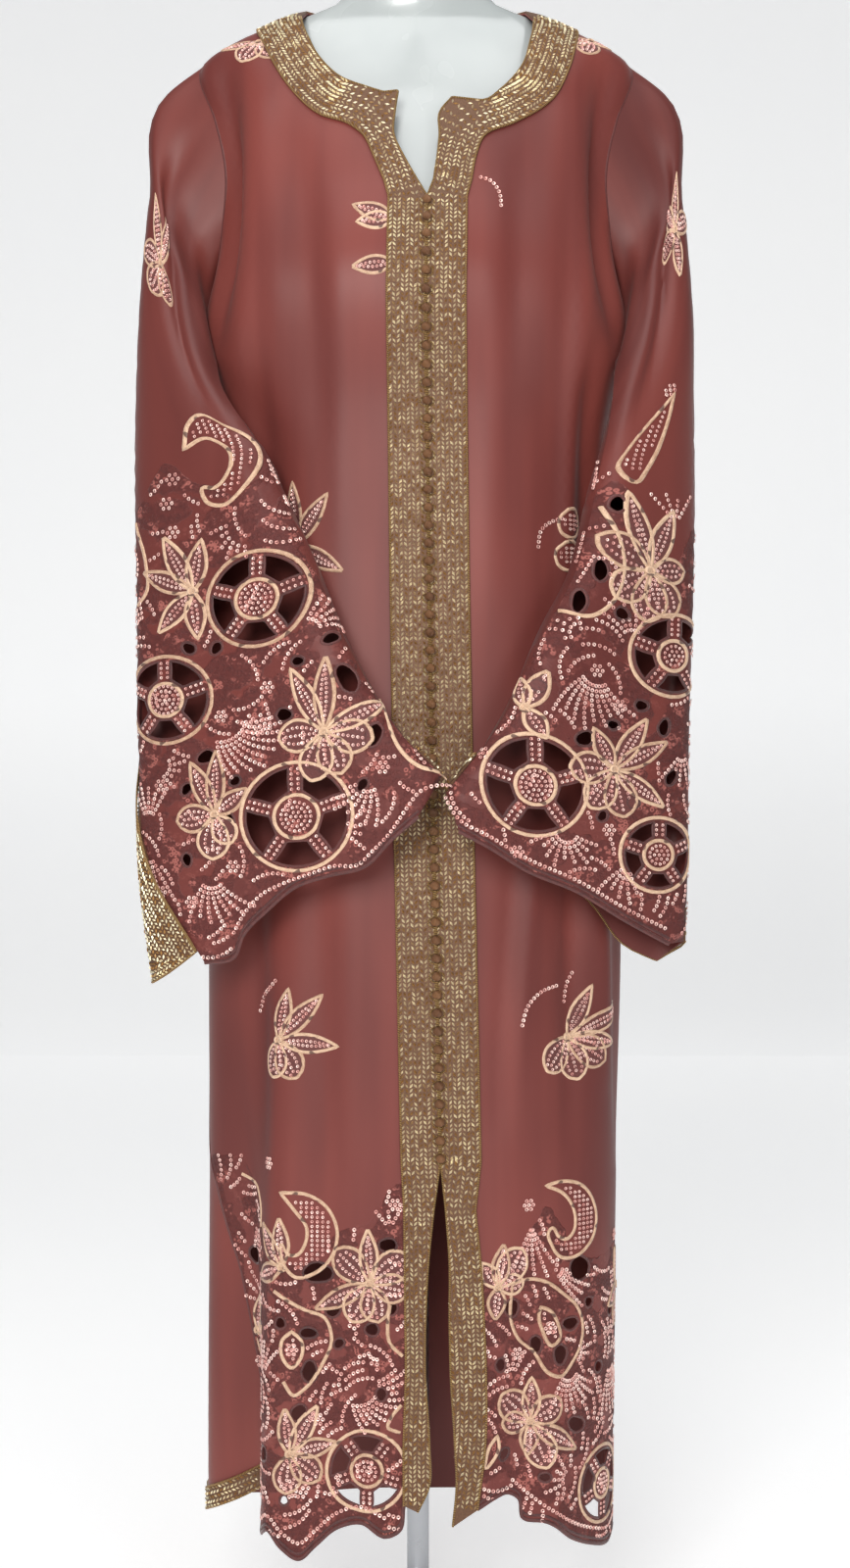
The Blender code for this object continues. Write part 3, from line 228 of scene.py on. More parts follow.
def between(line, along, wanted):
    """A line's points, read at the wanted distances along it."""
    return np.column_stack([np.interp(wanted, along, column) for column in np.asarray(line).T])


def smooth(points, pitch):
    """A smooth line through some points, with a point every pitch or so."""
    points = np.array(points, float)
    keys = lengths(points)
    return spline(keys, points, np.linspace(0, keys[-1], max(round(keys[-1] / pitch), 1) + 1))


def read_grid(table, across, up):
    """Points read from a regular table at fractional columns and rows."""
    rows, columns = table.shape[:2]
    across = np.clip(across, 0, columns - 1.001)
    up = np.clip(up, 0, rows - 1.001)
    i = across.astype(int)
    j = up.astype(int)
    u = (across - i)[:, None]
    v = (up - j)[:, None]
    return ((table[j, i] * (1 - u) + table[j, i + 1] * u) * (1 - v)
            + (table[j + 1, i] * (1 - u) + table[j + 1, i + 1] * u) * v)


def outward(grid, turn):
    """Outward directions at a grid's points."""
    out = np.cross(np.gradient(grid, axis=1), np.gradient(grid, axis=0)) * turn
    return out / np.maximum(np.linalg.norm(out, axis=2), 1e-12)[..., None]


def creased(flat, creases):
    """How far soft creases lift flat points; each runs between two flat places and fades out."""
    rise = np.zeros(len(flat))
    for x0, y0, x1, y1, wide, high in creases:
        run = np.array((x1 - x0, y1 - y0))
        long = math.hypot(*run)
        away = np.asarray(flat) - (x0, y0)
        along = np.clip(away @ run / long**2, 0, 1)
        across = (away[:, 0] * run[1] - away[:, 1] * run[0]) / long
        rise += high * np.sin(np.pi * along) ** 0.8 * np.exp(-0.5 * (across / wide) ** 2)
    return rise


class Body:
    """The worn body cloth: rings with folds, read by distances along the cloth."""

    low = BODY_RINGS[0][0]
    high = BODY_RINGS[-1][0]
    step = 0.004
    reach = 0.76

    def __init__(self, folds):
        self.folds = folds
        count = int((self.high - self.low) / self.step) + 1
        self.heights = np.linspace(self.low, self.high, count)
        self.span = np.arange(-self.reach, self.reach + self.step / 2, self.step)
        rings = spline([row[0] for row in BODY_RINGS], [row[1:] for row in BODY_RINGS],
                       self.heights)
        self.front_table = np.empty((count, len(self.span), 3))
        self.back_table = np.empty((count, len(self.span), 3))
        self.side_q = np.empty((count, 2))
        self.half = np.empty((count, 2))
        for j, ring in enumerate(rings):
            self.add_ring(j, ring)
        self.front_out = outward(self.front_table, 1)
        self.back_out = outward(self.back_table, -1)

    def add_ring(self, j, ring):
        """One ring, with its folds, spread evenly along its own length."""
        z, wide, front, back, power = ring
        wide = wide + SLACK[2] * math.exp(-0.5 * ((z - SLACK[0]) / SLACK[1]) ** 2)
        angle = np.linspace(-math.pi, math.pi, 1441)
        x = wide * np.sign(np.sin(angle)) * np.abs(np.sin(angle)) ** (2 / power)
        depth = np.where(np.cos(angle) > 0, front, back)
        y = -depth * np.sign(np.cos(angle)) * np.abs(np.cos(angle)) ** (2 / power)
        flat = np.column_stack((x, y))
        along = lengths(flat)
        along -= along[720]
        ahead = np.gradient(flat, axis=0)
        out = np.column_stack((-ahead[:, 1], ahead[:, 0]))
        out = -out / np.maximum(np.linalg.norm(out, axis=1), 1e-9)[:, None]
        moved = np.zeros(len(angle))
        for q_low, q_high, z_low, z_high, stand, width in self.folds:
            u = min(max((z - z_low) / (z_high - z_low), 0.0), 1.0)
            fade = 1 - u * u * (3 - 2 * u)
            middle = q_low + (q_high - q_low) * u
            moved += stand * fade * np.exp(-0.5 * ((along - middle) / width) ** 2)
        flat = flat + out * moved[:, None]
        q = lengths(flat)
        q -= q[720]
        ring_points = np.column_stack((flat, np.full(len(q), z)))
        self.side_q[j] = np.interp((-math.pi / 2, math.pi / 2), angle, q)
        self.half[j] = (-q[0], q[-1])
        round_back = np.where(self.span >= 0, q[-1] - self.span, q[0] - self.span)
        self.front_table[j] = between(ring_points, q, self.span)
        self.back_table[j] = between(ring_points, q, round_back)

    def read(self, table, out, flat, creases):
        columns = (flat[:, 0] + self.reach) / self.step
        rows = (flat[:, 1] - self.low) / (self.heights[1] - self.heights[0])
        place = read_grid(table, columns, rows)
        normal = read_grid(out, columns, rows)
        return place + normal * creased(flat, creases)[:, None], normal

    def front(self, flat):
        """Places and outward directions at flat points of the front."""
        return self.read(self.front_table, self.front_out, np.asarray(flat, float), FRONT_CREASES)

    def back(self, flat):
        """Places and outward directions at flat points of the back."""
        return self.read(self.back_table, self.back_out, np.asarray(flat, float), BACK_CREASES)

    def side(self, h, side):
        """How far round the side line lies at a height: side is -1 for left, 1 for right."""
        return np.interp(h, self.heights, self.side_q[:, (side + 1) // 2])

    def half_round(self, h, side):
        """Half the way round the body at a height, on one side."""
        return np.interp(h, self.heights, self.half[:, (side + 1) // 2])


# Soft creases of the front and back: two flat places, half width, and how far each stands out
FRONT_CREASES = (
    (-0.15, 1.56, -0.135, 1.2, 0.012, 0.0048), (-0.11, 1.49, -0.09, 1.18, 0.011, -0.0035),
    (-0.19, 1.61, -0.214, 1.28, 0.013, -0.018), (-0.16, 1.54, -0.178, 1.24, 0.012, 0.0072),
    (-0.075, 1.44, -0.07, 1.02, 0.01, 0.0029), (-0.175, 1.3, -0.12, 0.96, 0.014, -0.0064),
    (-0.22, 1.25, -0.15, 0.9, 0.012, 0.0056), (-0.1, 0.96, -0.085, 0.48, 0.011, -0.0035),
    (-0.06, 0.8, -0.06, 0.38, 0.01, 0.0026), (-0.165, 0.86, -0.158, 0.47, 0.009, -0.0072),
    (0.14, 1.58, 0.128, 1.23, 0.012, 0.0048), (0.1, 1.48, 0.092, 1.24, 0.009, -0.0032),
    (0.19, 1.61, 0.214, 1.28, 0.013, -0.018), (0.158, 1.54, 0.176, 1.24, 0.012, 0.0072),
    (0.075, 1.44, 0.072, 1.0, 0.01, 0.0026), (0.165, 1.37, 0.15, 0.93, 0.008, 0.0056),
    (0.18, 1.33, 0.176, 0.92, 0.009, -0.0064), (0.128, 0.94, 0.088, 0.56, 0.01, 0.0072),
    (0.16, 0.93, 0.152, 0.5, 0.009, -0.0064), (0.178, 0.94, 0.205, 0.56, 0.01, 0.0067),
    (0.106, 0.88, 0.076, 0.52, 0.008, -0.0056), (0.225, 0.9, 0.24, 0.48, 0.012, -0.0064),
    (0.124, 0.42, 0.13, 0.13, 0.01, 0.0051), (-0.06, 0.33, -0.055, 0.13, 0.009, -0.0048))
BACK_CREASES = (
    (-0.05, 1.56, -0.03, 1.05, 0.016, 0.004), (0.06, 1.54, 0.08, 1.1, 0.014, -0.0038),
    (-0.14, 1.5, -0.12, 0.95, 0.014, -0.005), (0.15, 1.48, 0.13, 0.98, 0.013, 0.0046),
    (0.01, 1.18, 0.005, 0.42, 0.017, 0.0055), (-0.08, 1.0, -0.11, 0.22, 0.016, -0.006),
    (0.09, 0.98, 0.12, 0.24, 0.016, -0.0055), (-0.19, 1.05, -0.2, 0.3, 0.016, 0.006),
    (0.2, 1.02, 0.215, 0.28, 0.015, 0.0058), (0.04, 0.66, 0.05, 0.15, 0.012, 0.0036),
    (-0.04, 0.6, -0.05, 0.16, 0.012, 0.003), (-0.1, 1.3, 0.09, 1.24, 0.012, -0.003))


def form_rings():
    """The form's rings from its hips up; its shoulders lie just under the cloth."""
    keys = [row[0] for row in FORM_RINGS]
    heights = np.linspace(keys[0], keys[-1], 56)
    shapes = spline(keys, [row[1:] for row in FORM_RINGS], heights)
    rings = [(z, *shape) for z, shape in zip(heights, shapes)]
    shoulder = np.array(SHOULDER_HEIGHTS[:-1])
    place, out = body.front(np.column_stack((body.side(shoulder, 1), shoulder)))
    place = place - out * (CLOTH + FORM_UNDER)
    keys = [row[0] for row in BODY_RINGS]
    depths = spline(keys, [row[3:5] for row in BODY_RINGS], shoulder) * FORM_SLIM
    for (x, _, z), (front, back) in zip(place, depths):
        rings.append((z, x, front, back, FORM_RIDGE))
    return rings + list(FORM_NECK[:2]) + [tuple(row) for row in
                                          spline((0, 1, 2), FORM_NECK[1:], np.linspace(0.2, 2, 9))]


def make(name, corners, faces, look, flat=None, tones=()):
    """One shown piece: its mesh, its finish, its flat map if any, and named numbers at its points."""
    mesh = bpy.data.meshes.new(name)
    mesh.from_pydata(np.asarray(corners).tolist(), [], np.asarray(faces).tolist()
                     if isinstance(faces, np.ndarray) else faces)
    mesh.materials.append(look.material)
    mesh.polygons.foreach_set("use_smooth", [True] * len(mesh.polygons))
    if flat is not None:
        index = np.empty(len(mesh.loops), int)
        mesh.loops.foreach_get("vertex_index", index)
        layer = mesh.uv_layers.new(name="flat")
        layer.data.foreach_set("uv", np.asarray(flat, np.float32)[index].ravel())
    for word, numbers in dict(tones).items():
        layer = mesh.attributes.new(word, "FLOAT", "POINT")
        layer.data.foreach_set("value", np.asarray(numbers, np.float32))
    mesh.update()
    mesh.set_sharp_from_angle(angle=SHARP)
    made = bpy.data.objects.new(name, mesh)
    bpy.context.scene.collection.objects.link(made)
    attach(made, "root")
    return made


def form_torso():
    """The moulded torso as one closed body through its rings."""
    angle = np.arange(FORM_SIDES) * 2 * math.pi / FORM_SIDES
    sine, cosine = np.sin(angle), np.cos(angle)
    corners = []
    for z, wide, front, back, power in form_rings():
        x = wide * np.sign(sine) * np.abs(sine) ** (2 / power)
        y = -np.where(cosine > 0, front, back) * np.sign(cosine) * np.abs(cosine) ** (2 / power)
        corners += list(zip(x, y, np.full(FORM_SIDES, z)))
    faces = []
    count = len(corners) // FORM_SIDES
    for j in range(count - 1):
        for k in range(FORM_SIDES):
            a, b = j * FORM_SIDES + k, j * FORM_SIDES + (k + 1) % FORM_SIDES
            faces.append((a, b, b + FORM_SIDES, a + FORM_SIDES))
    faces.append(tuple(range(FORM_SIDES))[::-1])
    faces.append(tuple((count - 1) * FORM_SIDES + k for k in range(FORM_SIDES)))
    return make("form_smooth", corners, faces, plastic)


body = Body(BODY_FOLDS)
plastic = Finish("moulded_plastic", Coat_Roughness=0.12, IOR=1.48)
plastic_place = plastic.node("ShaderNodeTexCoord", {}, {}, 3)
haze = plastic.noise(plastic_place, 9.0, 3.0)
grain = plastic.noise(plastic_place, 520.0, 2.0)
plastic.feed("Base Color", plastic.mix(haze, tint(152, 158, 158), tint(182, 187, 186)))
plastic.feed("Roughness", plastic.step(haze, 0.3, 0.7, 0.2, 0.32))
plastic.feed("Coat Weight", plastic.step(haze, 0.35, 0.65, 0.35, 0.55))
plastic.bump(grain, 0.00006, 0.3)
form = form_torso()
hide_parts("form_torso")

# The body of the kaftan: two fronts and a back of satin, cut with side and shoulder seams. The
# lower part of each front is worked with thread and sequins and cut through between the motifs.

# The front edges where they are buttoned together: height and distance from the middle line
BUTTONED = ((0.505, 0.0235), (0.86, 0.016), (1.046, 0.013), (1.322, 0.0095), (1.418, 0.011))
# Each front's free edge below the buttons, and above them at the neck, the other way round
SLIT = {-1: ((0.002, 0.177), (0.0125, 0.2), (0.013, 0.24), (0.009, 0.309), (0.0095, 0.36),
             (0.012, 0.41), (0.017, 0.46)),
        1: ((0.035, 0.163), (0.0385, 0.2), (0.037, 0.24), (0.033, 0.309), (0.032, 0.36), (0.032, 0.41),
            (0.0285, 0.46))}
NECK_SLIT = {-1: ((0.001, 1.436), (-0.012, 1.462), (-0.021, 1.485), (-0.02, 1.512), (-0.017, 1.537)),
             1: ((0.0175, 1.436), (0.021, 1.462), (0.023, 1.485), (0.023, 1.51), (0.035, 1.529))}
# Each front's neckline from the slit to the shoulder, and the outer edge of its braid
NECKLINE = {-1: ((-0.031, 1.535), (-0.048, 1.542), (-0.073, 1.555), (-0.094, 1.583), (-0.107, 1.63),
                 (-0.115, 1.68)),
            1: ((0.052, 1.527), (0.066, 1.526), (0.083, 1.541), (0.103, 1.57), (0.113, 1.62),
                (0.118, 1.675))}
BRAID_EDGE = {-1: ((-0.011, 0.183), (-0.011, 0.24), (-0.009, 0.309), (-0.0095, 0.36), (-0.01, 0.41),
                   (-0.0105, 0.46)),
              1: ((0.058, 0.178), (0.0655, 0.24), (0.066, 0.309), (0.064, 0.36), (0.061, 0.41),
                  (0.056, 0.46))}
BRAID_WIDTH = {-1: 0.0365, 1: 0.0375}
COLLAR_EDGE = {-1: ((-0.03, 1.436), (-0.04, 1.462), (-0.05, 1.485), (-0.064, 1.498), (-0.093, 1.511),
                    (-0.121, 1.543), (-0.141, 1.583), (-0.154, 1.63)),
               1: ((0.053, 1.436), (0.0575, 1.462), (0.066, 1.485), (0.095, 1.501), (0.132, 1.53),
                   (0.15, 1.57), (0.16, 1.625))}
# Scalloped lower edges of the fronts, from the braid to the side seam
FRONT_HEM = {-1: ((-0.011, 0.183), (-0.016, 0.158), (-0.027, 0.153), (-0.051, 0.165), (-0.073, 0.161),
                  (-0.096, 0.142), (-0.11, 0.13), (-0.127, 0.141), (-0.142, 0.156), (-0.16, 0.148),
                  (-0.178, 0.154), (-0.19, 0.168)),
             1: ((0.058, 0.178), (0.075, 0.187), (0.089, 0.191), (0.1, 0.185), (0.104, 0.166),
                 (0.125, 0.163), (0.156, 0.142), (0.185, 0.13), (0.212, 0.124), (0.24, 0.133),
                 (0.265, 0.128), (0.289, 0.148))}
# The left side seam swings forward below this table's top row: height and distance round
LEFT_SEAM = ((0.168, -0.192), (0.23, -0.196), (0.31, -0.204), (0.39, -0.212), (0.47, -0.234),
             (0.56, -0.2915))
BACK_HEM = ((-0.33, 0.16), (-0.28, 0.14), (-0.2, 0.13), (-0.1, 0.127), (0.0, 0.126), (0.1, 0.127),
            (0.18, 0.129))
BACK_HEM_ENDS = {-1: 0.186, 1: 0.132}
BACK_HEM_BRAID = 0.021
BACK_NECK = ((-0.07, 1.735), (0.0, 1.738), (0.07, 1.735))
BACK_COLLAR = ((-0.125, 1.66), (-0.06, 1.646), (0.0, 1.642), (0.06, 1.646), (0.125, 1.66))
ARMPIT_H = 1.345
ARMHOLE_FRONT = 0.03
ARMHOLE_BACK = 0.022
SEAM = 0.00036
EDGE_PITCH = 0.006
CLEAR = 0.0035
FRONT_NET = (0.0085, 0.009)
BACK_NET = (0.011, 0.013)

# Wheels of cutwork: middle, rim radius, hub radius, and the turn of the first spoke in degrees
HEM_WHEELS = {-1: ((-0.046, 0.214, 0.038, 0.015, -90),), 1: ((0.202, 0.184, 0.037, 0.014, -90),)}
# Single gaps of cutwork: middle, length, width, and the turn of the length in degrees
HEM_GAPS = {
    -1: ((-0.026, 0.427, 0.018, 0.013, 0), (-0.092, 0.4, 0.03, 0.018, 0),
         (-0.078, 0.366, 0.016, 0.014, 45), (-0.041, 0.348, 0.014, 0.012, 0),
         (-0.022, 0.368, 0.014, 0.01, 90), (-0.101, 0.343, 0.018, 0.01, 0),
         (-0.072, 0.334, 0.012, 0.009, 45), (-0.1, 0.307, 0.022, 0.014, 90),
         (-0.11, 0.268, 0.018, 0.014, 60), (-0.128, 0.352, 0.012, 0.01, 90),
         (-0.192, 0.405, 0.018, 0.016, 0), (-0.166, 0.352, 0.018, 0.014, 60),
         (-0.178, 0.29, 0.016, 0.013, 90), (-0.15, 0.226, 0.016, 0.013, 60),
         (-0.124, 0.186, 0.01, 0.008, 90), (-0.032, 0.287, 0.014, 0.01, 90)),
    1: ((0.164, 0.398, 0.026, 0.022, -30), (0.176, 0.364, 0.012, 0.01, 0),
        (0.152, 0.347, 0.02, 0.012, 0), (0.14, 0.319, 0.02, 0.014, 90),
        (0.092, 0.366, 0.018, 0.014, 90), (0.116, 0.33, 0.018, 0.011, 90),
        (0.192, 0.299, 0.013, 0.011, 0), (0.244, 0.322, 0.014, 0.01, 90),
        (0.16, 0.25, 0.024, 0.014, -20), (0.081, 0.313, 0.014, 0.01, 90),
        (0.238, 0.246, 0.014, 0.01, 0), (0.085, 0.228, 0.014, 0.009, 60),
        (0.262, 0.398, 0.016, 0.012, 90), (0.262, 0.278, 0.016, 0.012, 60),
        (0.215, 0.35, 0.014, 0.01, 60), (0.124, 0.205, 0.012, 0.009, 0))}
# Where the cloth is worked all over with maroon thread, as flat outlines
HEM_WORK = {-1: ((-0.3, 0.47), (-0.23, 0.5), (-0.196, 0.5), (-0.17, 0.452), (-0.15, 0.415),
                 (-0.11, 0.405), (-0.075, 0.44), (-0.045, 0.448), (-0.025, 0.478), (0.01, 0.5),
                 (0.01, 0.1), (-0.3, 0.1)),
            1: ((0.05, 0.395), (0.086, 0.405), (0.112, 0.44), (0.128, 0.462), (0.145, 0.44),
                (0.152, 0.405), (0.2, 0.405), (0.24, 0.415), (0.32, 0.4), (0.32, 0.1), (0.05, 0.1))}


def inside(points, loop):
    """Which of the points lie inside a closed loop."""
    points = np.asarray(points, float)
    loop = np.asarray(loop, float)
    x, y = points[:, 0:1], points[:, 1:2]
    ax, ay = loop[:, 0], loop[:, 1]
    bx, by = np.roll(ax, -1), np.roll(ay, -1)
    rise = np.where(by == ay, 1e-12, by - ay)
    crosses = ((ay > y) != (by > y)) & (x < ax + (y - ay) * (bx - ax) / rise)
    return crosses.sum(axis=1) % 2 == 1


def distance(points, starts, ends):
    """The distance from each point to the nearest of some straight lines."""
    points = np.asarray(points, float)
    run = (ends - starts)[None]
    nearest = np.empty(len(points))
    for first in range(0, len(points), 400):
        away = points[first:first + 400, None, :] - starts[None]
        share = (away * run).sum(-1) / np.maximum((run * run).sum(-1), 1e-12)
        spot = away - np.clip(share, 0, 1)[..., None] * run
        nearest[first:first + 400] = np.linalg.norm(spot, axis=-1).min(axis=1)
    return nearest


def net(outline, holes, lines, spacing):
    """Flat points and triangles over an outline, round its holes and along its drawn lines."""
    places = []
    edges = []
    for line in [outline] + holes + lines:
        first = len(places)
        places += [tuple(p) for p in line]
        edges += [(first + i, first + i + 1) for i in range(len(line) - 1)]
        if not any(line is drawn for drawn in lines):
            edges.append((len(places) - 1, first))
    starts = np.array([places[a] for a, _ in edges])
    ends = np.array([places[b] for _, b in edges])
    low = np.min(outline, axis=0)
    high = np.max(outline, axis=0)
    fill = []
    for row, y in enumerate(np.arange(low[1] + spacing[1] / 2, high[1], spacing[1])):
        shift = spacing[0] / 2 if row % 2 else 0.0
        fill += [(x, y) for x in np.arange(low[0] + shift, high[0], spacing[0])]
    fill = np.array(fill)
    keep = inside(fill, outline) & (distance(fill, starts, ends) > 0.45 * min(spacing))
    for hole in holes:
        keep &= ~inside(fill, hole)
    places += [tuple(p) for p in fill[keep]]
    found = delaunay_2d_cdt([Vector(p) for p in places], edges, [], 0, 1e-6, False)
    flat = np.array([tuple(p) for p in found[0]])
    tris = np.array([face for face in found[2]])
    middles = flat[tris].mean(axis=1)
    first, second = flat[tris[:, 1]] - flat[tris[:, 0]], flat[tris[:, 2]] - flat[tris[:, 0]]
    area = (first[:, 0] * second[:, 1] - first[:, 1] * second[:, 0]) / 2
    keep = inside(middles, outline) & (area > 1e-9)
    for hole in holes:
        keep &= ~inside(middles, hole)
    return tidy(flat, tris[keep])


def tidy(flat, tris):
    """The same net without points that no triangle uses."""
    used = np.unique(tris)
    index = np.full(len(flat), -1)
    index[used] = np.arange(len(used))
    return flat[used], index[tris]


def region(flat, tris, loop):
    """The part of a net whose triangles lie inside a loop."""
    return tidy(flat, tris[inside(flat[tris].mean(axis=1), loop)])


def walled(flat, tris, lift, turn, out, wall):
    """Corners and faces of a closed wall over a lifted net."""
    place, normal = lift(flat)
    count = len(flat)
    corners = np.concatenate((place + normal * out, place + normal * (out - wall)))
    if turn < 0:
        tris = tris[:, ::-1]
    sides = np.concatenate((tris[:, (0, 1)], tris[:, (1, 2)], tris[:, (2, 0)]))
    known = set(map(tuple, sides.tolist()))
    rim = np.array([(a, b) for a, b in known if (b, a) not in known])
    rim = rim[np.lexsort(rim.T)]
    faces = np.concatenate((tris, tris[:, ::-1] + count,
                            np.column_stack((rim[:, 1], rim[:, 0], rim[:, 0] + count)),
                            np.column_stack((rim[:, 1], rim[:, 0] + count, rim[:, 1] + count))))
    return corners, faces


def wheel_gaps(x, y, rim, hub, turn, spokes=5):
    """The gaps between the spokes of a cutwork wheel."""
    loops = []
    inner, outer = hub + 0.004, rim - 0.004
    for k in range(spokes):
        middle = math.radians(turn) + 2 * math.pi * (k + 0.5) / spokes
        wide = math.pi / spokes - 0.0055 / outer
        narrow = max(math.pi / spokes - 0.0055 / inner, 0.08)
        turns = [(outer, a) for a in np.linspace(-wide, wide, 8)]
        turns += [((inner + outer) / 2, (wide + narrow) / 2), (inner, narrow), (inner, -narrow),
                  ((inner + outer) / 2, -(wide + narrow) / 2)]
        loops.append([(x + r * math.cos(middle + a), y + r * math.sin(middle + a))
                      for r, a in turns])
    return loops


def single_gap(x, y, long, wide, turn, corners=12):
    """One pointed gap in the cutwork."""
    turn = math.radians(turn)
    loop = []
    for k in range(corners):
        angle = 2 * math.pi * k / corners
        u = long / 2 * math.cos(angle)
        v = wide / 2 * math.sin(angle) * (1.1 + 0.1 * math.sin(3 * angle + 40 * x))
        loop.append((x + u * math.cos(turn) - v * math.sin(turn),
                     y + u * math.sin(turn) + v * math.cos(turn)))
    return loop


def cutwork(wheels, gaps, outline, lines):
    """All the holes that keep clear of the outline, of the drawn lines and of each other."""
    loops = [loop for row in wheels for loop in wheel_gaps(*row)]
    loops += [single_gap(*row) for row in gaps]
    walls = [np.array(outline), np.roll(np.array(outline), -1, axis=0)]
    for line in lines:
        walls[0] = np.concatenate((walls[0], np.array(line[:-1])))
        walls[1] = np.concatenate((walls[1], np.array(line[1:])))
    kept = []
    for loop in loops:
        points = np.array(loop)
        if not inside(points, outline).all() or distance(points, *walls).min() < CLEAR:
            continue
        kept.append(loop)
        walls[0] = np.concatenate((walls[0], points))
        walls[1] = np.concatenate((walls[1], np.roll(points, -1, axis=0)))
    return kept


def armhole(side, count=40, inset=0.0):
    """The front and back armhole lines on the flat body, from the shoulder to the armpit."""
    h = np.linspace(SHOULDER_H, ARMPIT_H, count)
    swing = np.sin(np.pi * np.linspace(0, 1, count))
    edge = body.side(h, side)
    half = body.half_round(h, side)
    front = np.column_stack((edge - side * (ARMHOLE_FRONT * swing + inset), h))
    back = np.column_stack((side * (half - np.abs(edge) - ARMHOLE_BACK * swing - inset), h))
    return front, back


def seam_q(h, side):
    """How far round the front reaches at a height, to its side or shoulder seam."""
    q = body.side(h, side)
    if side < 0:
        keys = [row[0] for row in LEFT_SEAM]
        q = np.where(h < keys[-1], np.interp(h, keys, [row[1] for row in LEFT_SEAM]), q)
    return q


def buttoned_rows(count=110):
    """Heights and distances of the rows where the two fronts are buttoned together."""
    h = np.linspace(BUTTONED[0][0], BUTTONED[-1][0], count)
    return h, np.interp(h, [row[0] for row in BUTTONED], [row[1] for row in BUTTONED])


def rows_of(*lines):
    """Several lines of flat points as one list."""
    return [(float(x), float(y)) for line in lines for x, y in line]


def seam_line(side, heights, off):
    """A side or shoulder seam as flat points of the front, a little inside the seam."""
    return [(float(seam_q(h, side)) - side * off, float(h)) for h in heights]


CORNER_GAP = 0.003
SEAM_ROWS = np.arange(0.23, ARMPIT_H - 0.004, 0.012)
SHOULDER_ROWS = np.linspace(SHOULDER_H + 0.006, NECK_H, 12)
BELOW_COLLAR = SHOULDER_ROWS[SHOULDER_ROWS < COLLAR_END - CORNER_GAP]
ABOVE_COLLAR = SHOULDER_ROWS[SHOULDER_ROWS > COLLAR_END + CORNER_GAP]


def front_cut(side):
    """One front drawn flat: its outline, the line inside its braid, its holes and its braid."""
    h, q = buttoned_rows()
    edge = rows_of(smooth(SLIT[side], EDGE_PITCH), np.column_stack((q + side * SEAM / 2, h)),
                   smooth(NECK_SLIT[side], EDGE_PITCH))
    collar_end = (float(seam_q(COLLAR_END, side)) - side * SEAM / 2, COLLAR_END)
    braid = rows_of(smooth(BRAID_EDGE[side], EDGE_PITCH),
                    np.column_stack((q + side * BRAID_WIDTH[side], h)),
                    smooth(COLLAR_EDGE[side] + (collar_end,), EDGE_PITCH))
    hem = rows_of(smooth(FRONT_HEM[side], 0.004))
    up_side = seam_line(side, SEAM_ROWS, SEAM / 2)
    hole = rows_of(armhole(side, inset=SEAM / 2)[0][::-1])
    neck = rows_of(smooth(NECKLINE[side], EDGE_PITCH))
    below = seam_line(side, BELOW_COLLAR, SEAM / 2)
    above = seam_line(side, ABOVE_COLLAR, SEAM / 2)
    outline = edge[::-1] + hem + up_side + hole + below + [collar_end] + above + neck[::-1]
    band = edge + neck + above[::-1] + [collar_end] + braid[::-1]
    holes = cutwork(HEM_WHEELS[side], HEM_GAPS[side], outline, [braid])
    return outline, braid, holes, band, edge + neck, hem


def back_edge(h, side):
    """How far round the back reaches at a height, to its side or shoulder seam."""
    return side * (float(body.half_round(h, side)) - abs(float(seam_q(h, side))) - SEAM / 2)


def back_rows(side, heights):
    """The back's edge on one side as flat points."""
    return [(back_edge(h, side), float(h)) for h in heights]


def back_cut():
    """The back drawn flat: its outline, the lines inside its braids, and its braids' outlines."""
    hem = [(back_edge(BACK_HEM_ENDS[-1], -1), BACK_HEM_ENDS[-1])] + list(BACK_HEM)
    hem = rows_of(smooth(hem + [(back_edge(BACK_HEM_ENDS[1], 1), BACK_HEM_ENDS[1])], 0.01))
    rise = [(x, y + BACK_HEM_BRAID) for x, y in hem]
    rise[0] = (back_edge(rise[0][1], -1), rise[0][1])
    rise[-1] = (back_edge(rise[-1][1], 1), rise[-1][1])
    right = back_rows(1, np.concatenate(((0.175, 0.2), SEAM_ROWS)))
    left = back_rows(-1, SEAM_ROWS)
    holes = {side: rows_of(armhole(side, inset=SEAM / 2)[1]) for side in (-1, 1)}
    ends = {side: (back_edge(COLLAR_END, side), COLLAR_END) for side in (-1, 1)}
    below = {side: back_rows(side, BELOW_COLLAR) for side in (-1, 1)}
    above = {side: back_rows(side, ABOVE_COLLAR) for side in (-1, 1)}
    neck = rows_of(smooth(BACK_NECK, 0.01))
    collar = rows_of(smooth([ends[-1]] + list(BACK_COLLAR) + [ends[1]], 0.01))
    outline = (hem + [rise[-1]] + right + holes[1][::-1] + below[1] + [ends[1]] + above[1]
               + neck[::-1] + above[-1][::-1] + [ends[-1]] + below[-1][::-1] + holes[-1]
               + left[::-1] + [rise[0]])
    hem_band = hem + rise[::-1]
    neck_band = collar + above[1] + neck[::-1] + above[-1][::-1]
    return outline, rise, collar, hem_band, neck_band, hem, neck


